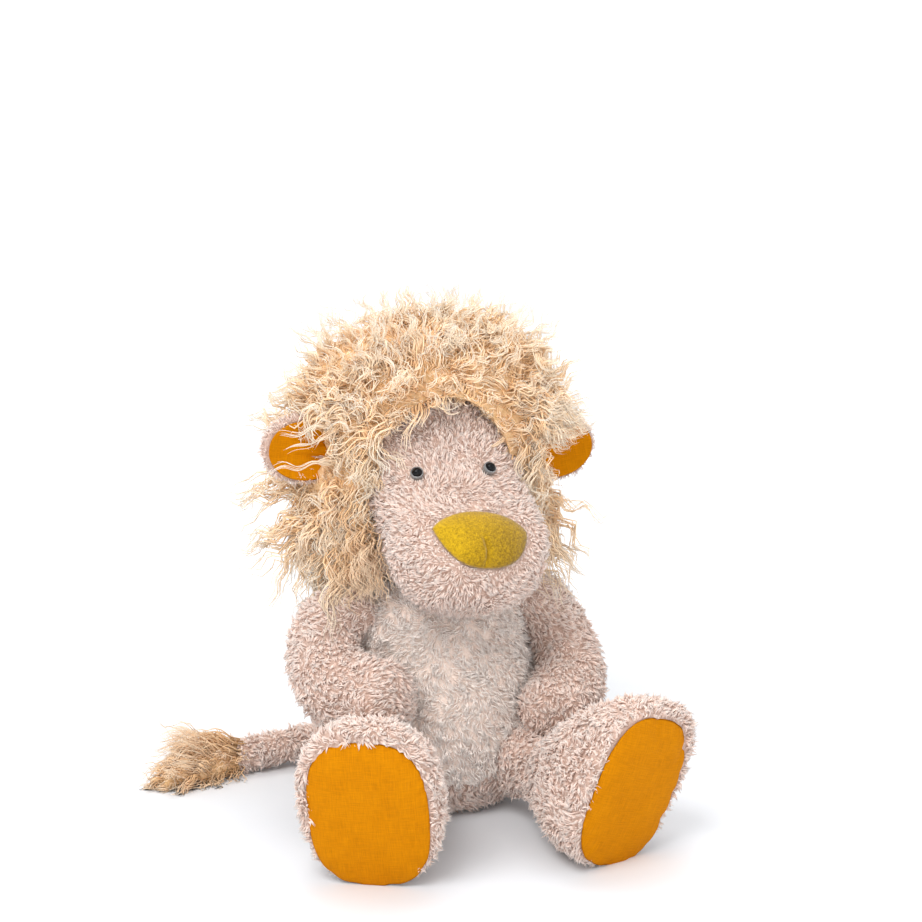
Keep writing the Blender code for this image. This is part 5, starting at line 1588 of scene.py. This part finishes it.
@dataclass
class Arm:
    """An arm that hangs from its shoulder and rests its paw on the thigh."""

    side: Side
    route_shares: tuple
    width_shares: tuple
    reach: float = 0.070
    radius: float = 0.025
    shoulder: tuple = (0.068, 0.002, 0.149)
    paw_length: float = 0.022
    inset: float = 0.0015
    cover: bpy.types.Mesh | None = field(default=None, init=False)
    rows: np.ndarray | None = field(default=None, init=False)

    def shape(self) -> bpy.types.Mesh:
        """The arm's form."""
        sign = self.side.value
        rows = []
        for route, width in zip(self.route_shares, self.width_shares):
            out, forward, down = (share * self.reach for share in route)
            rows.append((sign * (self.shoulder[0] + out), self.shoulder[1] - forward, self.shoulder[2] - down, width * self.radius))
        self.rows = Soft.smooth_rows(rows, 26)
        rings = Soft.path_rings(self.rows, (0, -1, 0.4))
        first, all_rings, last = Soft.capped(rings, self.radius * self.width_shares[0], self.paw_length)
        mesh = Soft.form(self.side.word + "_arm_cover", first, all_rings, last, 44)
        self.cover = Soft.offset(mesh, -self.inset, self.side.word + "_arm_cover")
        return self.cover

    def flow(self, points: np.ndarray, normals: np.ndarray) -> np.ndarray:
        """Along the arm towards the paw."""
        centres = self.rows[:, :3]
        along = unit(np.gradient(centres, axis=0))
        nearest = np.argmin(np.linalg.norm(points[:, None] - centres[None], axis=2), axis=1)
        return along[nearest]

    def build(self, shop: Workshop, others: list[bpy.types.Mesh]) -> None:
        """Dress the arm.

        Args:
            shop: Where the pieces go.
            others: Forms that hide pile that starts inside them.
        """
        word = self.side.word
        body = word + "_arm"
        cover = shop.add(word + "_arm_cover", self.cover, shop.finishes.plush_ground, body, "plush",
                         word + "_arm_skin", word + "_arm_stuffing")

        def free(points: np.ndarray, normals: np.ndarray) -> np.ndarray:
            """Places that no other form covers."""
            kept = np.ones(len(points), bool)
            for other in others:
                kept &= ~Soft.inside(other, points, 0.004)
            return kept

        pile = BODY_PILE.grow(word + "_arm_pile", self.cover, self.flow, free, 51 + int(self.side.value))
        shop.add_pile(word + "_arm_pile", pile, shop.finishes.plush, body, "plush")


@dataclass
class Leg:
    """A leg that splays out to a big foot with a linen sole."""

    side: Side
    spread: float
    foot_turn: float
    roll: float
    length: float
    hip: tuple = (0.048, -0.048, 0.040)
    hip_radius: float = 0.030
    foot_width: float = 0.098
    foot_height: float = 0.126
    foot_edge: float = 0.008
    pitch: float = 14.0
    fullness: float = 2.4
    sole_width: float = 0.082
    sole_height: float = 0.111
    sole_drop: float = 0.003
    sole_fullness: float = 2.8
    sole_skew: float = 0.0
    crown: float = 0.0035
    inset: float = 0.0018
    station_shares: tuple = (
        (0.00, -0.05), (0.10, -0.10), (0.21, -0.18), (0.32, -0.10), (0.45, 0.18), (0.60, 0.58),
        (0.78, 0.88), (0.92, 0.98), (1.00, 1.00),
    )
    cover: bpy.types.Mesh | None = field(default=None, init=False)
    end: Section | None = field(default=None, init=False)

    def section_frame(self, growth: float) -> Matrix:
        """The turn of a section: full spread, with pitch and roll that grow towards the foot."""
        sign = self.side.value
        spread = Matrix.Rotation(math.radians(sign * (self.spread + growth * self.foot_turn)), 3, "Z")
        pitch = Matrix.Rotation(math.radians(growth * self.pitch), 3, "X")
        roll = Matrix.Rotation(math.radians(sign * growth * self.roll), 3, "Y")
        return spread @ pitch @ roll

    def shape(self) -> bpy.types.Mesh:
        """The leg's form."""
        sign = self.side.value
        spread = Matrix.Rotation(math.radians(sign * self.spread), 3, "Z")
        hip = Vector((sign * self.hip[0], self.hip[1], self.hip[2]))
        roll = math.radians(self.roll)
        upright = math.hypot(self.foot_height / 2 * math.cos(roll), self.foot_width / 2 * math.sin(roll))
        foot_z = upright * math.cos(math.radians(self.pitch)) - 0.0005
        rings = []
        for place, growth in Soft.smooth_rows(self.station_shares, 26):
            turned = min(max(growth, 0.0), 1.0)
            frame_turn = self.section_frame(turned)
            centre = hip + spread @ Vector((0.0, -place * self.length, turned * (foot_z - self.hip[2])))
            half_width = self.hip_radius + growth * (self.foot_width / 2 - self.hip_radius)
            half_height = self.hip_radius + growth * (self.foot_height / 2 - self.hip_radius)
            rings.append(Section.at(centre, frame_turn @ Vector((1, 0, 0)), frame_turn @ Vector((0, 0, 1)), half_width, half_height))
        first, domed, _ = Soft.capped(rings, rings[0].half_side, self.foot_edge)
        root = domed[:len(domed) - 6]
        base = rings[-1]
        direction = base.side.cross(base.up)
        edge = []
        for turn in (0.15, 0.3, 0.45, 0.6, 0.75, 0.9, 1.0):
            angle = math.pi / 2 * turn
            shrink = self.foot_edge * (1 - math.cos(angle))
            edge.append(Section.at(base.centre + direction * self.foot_edge * math.sin(angle), base.side, base.up,
                                   base.half_side - shrink, base.half_up - shrink))
        for share in (0.8, 0.6, 0.4, 0.2):
            flat = edge[6]
            edge.append(Section.at(flat.centre, base.side, base.up, flat.half_side * share, flat.half_up * share))
        self.end = edge[6]
        mesh = Soft.form(self.side.word + "_leg_cover", first, root + edge, self.end.centre, 64, self.fullness)
        mesh = Soft.offset(mesh, -self.inset, self.side.word + "_leg_cover")
        for vertex in mesh.vertices:
            vertex.co.z = max(vertex.co.z, 0.0)
        self.cover = mesh
        return mesh

    def skewed(self, height: np.ndarray | float) -> np.ndarray | float:
        """How far the sole's middle lies to the side at a height."""
        return -self.side.value * self.sole_skew * height

    def sole_share(self, points: np.ndarray) -> np.ndarray:
        """How far out each place is on the sole: 1 on its edge, and 9 away from it."""
        side, up = np.array(self.end.side), np.array(self.end.up)
        local = points - np.array(self.end.centre) + up * self.sole_drop
        depth = local @ np.cross(side, up)
        x = np.abs(local @ side - self.skewed(local @ up)) / (self.sole_width / 2)
        z = np.abs(local @ up) / (self.sole_height / 2)
        share = (x ** self.sole_fullness + z ** self.sole_fullness) ** (1 / self.sole_fullness)
        return np.where(depth > -self.foot_edge, share, 9.0)

    def build(self, shop: Workshop, others: list[bpy.types.Mesh]) -> None:
        """Dress the leg.

        Args:
            shop: Where the pieces go.
            others: Forms that hide pile that starts inside them.
        """
        word = self.side.word
        body = word + "_leg"
        cover = shop.add(word + "_leg_cover", self.cover, shop.finishes.plush_ground, body, "plush",
                         word + "_leg_skin", word + "_leg_stuffing")
        self.build_sole(shop)

        def free(points: np.ndarray, normals: np.ndarray) -> np.ndarray:
            """Places outside the sole that no other form covers."""
            kept = (self.sole_share(points) > 1.0) & (points[:, 2] > 0.0006)
            for other in others:
                kept &= ~Soft.inside(other, points, 0.004)
            return kept

        direction = self.end.side.cross(self.end.up)
        centre = self.end.centre

        def flow(points: np.ndarray, normals: np.ndarray) -> np.ndarray:
            """Along the leg to the foot, and out over the sole's edge."""
            outward = unit(points - np.array(centre))
            near = np.clip(1 - np.linalg.norm((points - np.array(centre)) @ np.array(direction)[:, None], axis=1) / 0.015, 0, 1)
            return np.tile(np.array(direction), (len(points), 1)) * (1 - near[:, None]) + outward * near[:, None]

        pile = BODY_PILE.grow(word + "_leg_pile", self.cover, flow, free, 61 + int(self.side.value))
        shop.add_pile(word + "_leg_pile", pile, shop.finishes.plush, body, "plush")

    def build_sole(self, shop: Workshop) -> None:
        """Build the crowned linen sole with its puckered edge.

        Args:
            shop: Where the pieces go.
        """
        rng = np.random.default_rng(71 + int(self.side.value))
        puckers = [(rng.uniform(0, 2 * math.pi), rng.uniform(0.3, 1.0), rng.uniform(0.05, 0.11)) for _ in range(26)]
        direction = self.end.side.cross(self.end.up)
        form = bmesh.new()
        bmesh.ops.create_grid(form, x_segments=64, y_segments=76, size=1.0)
        layer = form.loops.layers.uv.new("UVMap")
        spots = {}
        full = self.sole_fullness
        for vertex in form.verts:
            x, z = vertex.co.x, vertex.co.y
            square = (abs(x) ** full + abs(z) ** full) ** (1 / full)
            stretch = max(abs(x), abs(z)) / square if square > 1e-9 else 1.0
            x, z = x * stretch, z * stretch
            share = (abs(x) ** full + abs(z) ** full) ** (1 / full)
            angle = math.atan2(z, x)
            dent = 0.0
            for place, depth, spread in puckers:
                away = (angle - place + math.pi) % (2 * math.pi) - math.pi
                dent += depth * math.exp(-(away / spread) ** 2)
            edge = max(0.0, share - 0.55) / 0.45
            rise = self.crown * (1 - share ** 3.0) - 0.0010 * dent * edge ** 2 - 0.0012 * share ** 12
            across, height = x * self.sole_width / 2, z * self.sole_height / 2
            pull = 1 - 0.012 * dent * edge ** 3
            spots[vertex.index] = (across, height)
            middle = self.end.centre - self.end.up * self.sole_drop
            aside = across * pull + self.skewed(height)
            vertex.co = middle + self.end.side * aside + self.end.up * height * pull + direction * rise
        for face in form.faces:
            for loop in face.loops:
                loop[layer].uv = spots[loop.vert.index]
        bmesh.ops.solidify(form, geom=form.faces[:], thickness=0.0025)
        word = self.side.word
        sole = shop.add(word + "_sole_linen", Soft.to_mesh(form, "sole"), shop.finishes.linen, word + "_leg", "linen", word + "_sole")


TUFT_CURL = Pile(length=0.020, radius=0.00060, spacing=0.0022, lean=0.80, jitter=0.30, stray=0.08, curl=0.0019,
                 turns=2.0, planar=0.5, tuft=0.007, gather=0.75, droop=0.12, uneven=0.45, rings=7, thin=0.45)
TUFT_FALL = Pile(length=0.055, radius=0.00064, spacing=0.0031, stray=0.06, curl=0.0056, turns=1.5, planar=0.5,
                 scatter_phase=0.22, gather=0.45, droop=0.08, rings=14, thin=0.50)


@dataclass
class Tail:
    """The tail that lies out to the lion's right and ends in a gathered tuft."""

    root_y: float = 0.070
    root_z: float = 0.026
    radius: float = 0.0125
    root_radius: float = 0.014
    inset: float = 0.0012
    route: tuple = ((0.000, 0.000, 0.026), (0.010, 0.016, 0.025), (0.032, 0.030, 0.022), (0.064, 0.033, 0.018),
                    (0.098, 0.031, 0.015), (0.130, 0.028, 0.013))
    tuft_length: float = 0.066
    tuft_radius: float = 0.019
    tuft_bend: float = 0.012
    rows: np.ndarray | None = field(default=None, init=False)

    def flow(self, points: np.ndarray, normals: np.ndarray) -> np.ndarray:
        """Along the tail towards the tuft."""
        centres = self.rows[:, :3]
        along = unit(np.gradient(centres, axis=0))
        nearest = np.argmin(np.linalg.norm(points[:, None] - centres[None], axis=2), axis=1)
        return along[nearest]

    def build(self, shop: Workshop, others: list[bpy.types.Mesh]) -> None:
        """Build and dress the tail.

        Args:
            shop: Where the pieces go.
            others: Forms that hide pile that starts inside them.
        """
        rows = [(-right, self.root_y + back, height, self.radius) for right, back, height in self.route]
        rows[0] = (*rows[0][:3], self.root_radius)
        self.rows = Soft.smooth_rows(rows, 36)
        rings = Soft.path_rings(self.rows, (0, 0, 1))
        first, all_rings, last = Soft.capped(rings, self.root_radius, self.radius / 2)
        mesh = Soft.offset(Soft.form("tail_cover", first, all_rings, last, 32), -self.inset, "tail_cover")
        cover = shop.add("tail_cover", mesh, shop.finishes.plush_ground, "tail", "plush", "tail_skin", "tail_stuffing")

        def free(points: np.ndarray, normals: np.ndarray) -> np.ndarray:
            """Places that no other form covers."""
            kept = points[:, 2] > 0.0006
            for other in others:
                kept &= ~Soft.inside(other, points, 0.003)
            return kept

        shop.add_pile("tail_pile", BODY_PILE.grow("tail_pile", mesh, self.flow, free, 81), shop.finishes.plush, "tail", "plush")
        self.build_tuft(shop)

    def build_tuft(self, shop: Workshop) -> None:
        """Build the tuft: a small core with long locks gathered at the tail's end.

        Args:
            shop: Where the pieces go.
        """
        end = Vector(self.rows[-1][:3])
        along = (end - Vector(self.rows[-2][:3])).normalized()
        flat = Vector((along.x, along.y, 0.0)).normalized()
        start = end + along * 0.002
        rings = []
        for place, girth in ((0.00, 0.52), (0.12, 0.62), (0.32, 0.86), (0.55, 0.88), (0.78, 0.66), (0.93, 0.34)):
            centre = start + flat * self.tuft_length * place + Vector((0, -1, 0)) * self.tuft_bend * place ** 2
            half = girth * self.tuft_radius
            centre.z = max(half * 0.7, start.z * (1 - place))
            rings.append(Section.at(centre, Vector((0, 0, 1)).cross(flat), (0, 0, 1), half, half * 0.7))
        tip = start + flat * self.tuft_length * 0.97 + Vector((0, -self.tuft_bend, 0))
        tip.z = self.tuft_radius * 0.25
        core = Soft.form("tuft_core", start - along * 0.004, rings, tip, 24)
        for vertex in core.vertices:
            vertex.co.z = max(vertex.co.z, 0.0)
        piece = shop.add("tuft_core", core, shop.finishes.mane_ground, "tail", "mane_pile", "tail_tuft")
        shop.add_pile("tuft_locks", TUFT_CURL.grow("tuft_locks", core, flow_along(tuple(flat)), None, 91),
                      shop.finishes.mane_deep, "tail", "mane_pile")
        rng = np.random.default_rng(92)
        side = Vector((-flat.y, flat.x, 0.0))
        for name, count, strands, finish in (("tuft_falls", 28, 16, shop.finishes.mane_deep),
                                             ("tuft_wisps", 34, 2, shop.finishes.mane)):
            locks = []
            for _ in range(count):
                lift, turn = rng.uniform(-0.30, 0.45), rng.uniform(-0.40, 0.30)
                root = start + side * turn * 0.020 + Vector((0, 0, lift * 0.020))
                length = rng.uniform(0.040, 0.066) * (1.0 if strands > 3 else 1.1)
                locks.append((root, flat + side * turn + Vector((0, 0, lift)), length))
            meshes = TUFT_FALL.strew(name, locks, strands, 0.0024 if strands > 3 else 0.0008, 93 + count)
            shop.add_pile(name, meshes, finish, "tail", "mane_pile")


@dataclass
class Lion:
    """The whole lion."""

    torso: Torso = field(default_factory=Torso)
    head: Head = field(default_factory=Head)
    mane: Mane = field(default_factory=Mane)
    arms: tuple = (
        Arm(Side.RIGHT, ((0.00, 0.00, 0.00), (0.25, 0.03, 0.15), (0.36, 0.22, 0.42),
                         (0.31, 0.49, 0.62), (0.13, 0.74, 0.70), (-0.03, 0.90, 0.73)),
            (0.88, 0.98, 1.06, 1.15, 1.22, 1.24)),
        Arm(Side.LEFT, ((0.00, 0.00, 0.00), (0.21, 0.04, 0.22), (0.35, 0.18, 0.56),
                        (0.33, 0.45, 0.84), (0.14, 0.71, 0.97), (-0.04, 0.88, 1.05)),
            (0.88, 0.97, 1.04, 1.08, 1.08, 1.06)),
    )
    legs: tuple = (Leg(Side.RIGHT, 28.0, 0.0, 2.0, 0.119), Leg(Side.LEFT, 13.0, 6.0, 20.0, 0.127, sole_skew=0.10))
    ears: tuple = (Ear(Side.RIGHT, centre_z=0.268), Ear(Side.LEFT, centre_z=0.256))
    tail: Tail = field(default_factory=Tail)

    def build(self, shop: Workshop) -> None:
        """Build every part, with each pile thinned where another part covers it.

        Args:
            shop: Where the pieces go.
        """
        limbs = [limb.shape() for limb in (*self.arms, *self.legs)]
        torso = self.torso.shape()
        head = self.head.shape()
        self.torso.build(shop, [*limbs, head])
        self.torso.build_neck(shop)
        self.head.build(shop, self.mane, [torso])
        self.mane.build(shop, self.head.form, Vector((0.0, self.torso.middle_y, self.torso.neck_height)), self.ears)
        for ear in self.ears:
            ear.build(shop)
        for arm in self.arms:
            arm.build(shop, [torso, head])
        for leg in self.legs:
            leg.build(shop, [torso])
        self.tail.build(shop, [torso])


@dataclass(frozen=True)
class Studio:
    """The pale floor, the soft lights and the camera."""

    azimuth: float = -20.0
    pitch: float = 12.0
    distance: float = 1.60
    lens: float = 85.0
    sensor: float = 36.0
    image: float = 922.0
    target: tuple = (0.0, 0.0, 0.17)
    target_pixel: tuple = (440.0, 575.0)

    def build(self) -> None:
        """Build the studio."""
        self.floor()
        self.lights()
        self.camera()

    def floor(self) -> None:
        """Lay the floor, which has painted light that glows more the farther it lies from the lion, and hang the
        backdrop behind it.
        """
        graph = Graph("floor_paper")
        place = graph.place()
        grain = graph.noise(place, 40.0, 3.0)
        colour = graph.mix(grain, (0.745, 0.760, 0.785), (0.760, 0.773, 0.795))
        reach = graph.wire(graph.add("ShaderNodeVectorMath", {"operation": "LENGTH"}, {0: place}), "Value")
        # Painted light: the floor's emission grows with distance from the lion, so the far floor reads white while the
        # shade near the lion stays.
        painted_glow = graph.ramp(reach * 0.5, (0.06, (0.0, 0.0, 0.0)), (0.11, (0.10, 0.10, 0.10)), (0.45, (0.28, 0.28, 0.28)), (1.0, (0.40, 0.40, 0.40)))
        paper = graph.settle(Base_Color=colour, Roughness=0.9, Specular_IOR_Level=0.1, Emission_Color=painted_glow,
                             Emission_Strength=1.0)
        backdrop = Graph("backdrop_paper").settle(Base_Color=(0.9, 0.9, 0.9), Roughness=0.9,
                                                  Emission_Color=(1.0, 1.0, 1.0), Emission_Strength=0.6)
        for name, size, turn, place, finish in (
            ("studio_floor", 20.0, 0.0, (0.0, 0.0, 0.0), paper),
            ("studio_backdrop", 20.0, math.pi / 2, (0.0, 19.0, 0.0), backdrop),
        ):
            form = bmesh.new()
            bmesh.ops.create_grid(form, x_segments=8, y_segments=8, size=size)
            bmesh.ops.transform(form, verts=form.verts, matrix=Matrix.Translation(place) @ Matrix.Rotation(turn, 4, "X"))
            mesh = bpy.data.meshes.new(name)
            form.to_mesh(mesh)
            form.free()
            mesh.materials.append(finish)
            sheet = bpy.data.objects.new(name, mesh)
            bpy.context.scene.collection.objects.link(sheet)

    def lights(self) -> None:
        """Hang a large soft light, a fill and a pale surround."""
        scene = bpy.context.scene
        world = scene.world or bpy.data.worlds.new("surround")
        scene.world = world
        world.use_nodes = True
        background = world.node_tree.nodes["Background"]
        background.inputs[0].default_value = (0.97, 0.985, 1.0, 1.0)
        background.inputs[1].default_value = 0.68
        for name, place, size, power in (
            ("key_light", (-1.3, -1.3, 2.2), 1.5, 44.0),
            ("front_light", (-0.4, -2.3, 0.6), 1.2, 7.0),
            ("fill_light", (1.6, -1.4, 1.1), 1.6, 6.0),
            ("top_light", (0.1, 0.4, 2.2), 1.6, 16.0),
        ):
            light = bpy.data.lights.new(name, "AREA")
            light.shape = "DISK"
            light.size = size
            light.energy = power
            lamp = bpy.data.objects.new(name, light)
            lamp.location = place
            lamp.rotation_euler = (Vector((0, 0, 0.16)) - Vector(place)).to_track_quat("-Z", "Y").to_euler()
            scene.collection.objects.link(lamp)
        scene.view_settings.view_transform = "Standard"

    def camera(self) -> None:
        """Stand the camera where the photograph was taken from."""
        azimuth, pitch = math.radians(self.azimuth), math.radians(self.pitch)
        back = Vector((math.sin(azimuth) * math.cos(pitch), -math.cos(azimuth) * math.cos(pitch), math.sin(pitch)))
        right = Vector((math.cos(azimuth), math.sin(azimuth), 0.0))
        up = back.cross(right)
        focal = self.image * self.lens / self.sensor
        x = (self.target_pixel[0] - self.image / 2) / focal * self.distance
        y = -(self.target_pixel[1] - self.image / 2) / focal * self.distance
        data = bpy.data.cameras.new("camera")
        data.lens = self.lens
        data.sensor_width = self.sensor
        data.clip_end = 60.0
        camera = bpy.data.objects.new("camera", data)
        turn = Matrix((right, up, back)).transposed().to_4x4()
        camera.matrix_world = Matrix.Translation(Vector(self.target) + back * self.distance - right * x - up * y) @ turn
        bpy.context.scene.collection.objects.link(camera)
        bpy.context.scene.camera = camera


def main() -> None:
    """Build the lion and its studio."""
    logging.basicConfig(level=logging.INFO, format="%(message)s")
    shop = Workshop(Finishes.make())
    Lion().build(shop)
    LOG.info("%d triangles in all", shop.total)
    Studio().build()
    bpy.context.view_layer.update()


if __name__ == "__main__":
    main()
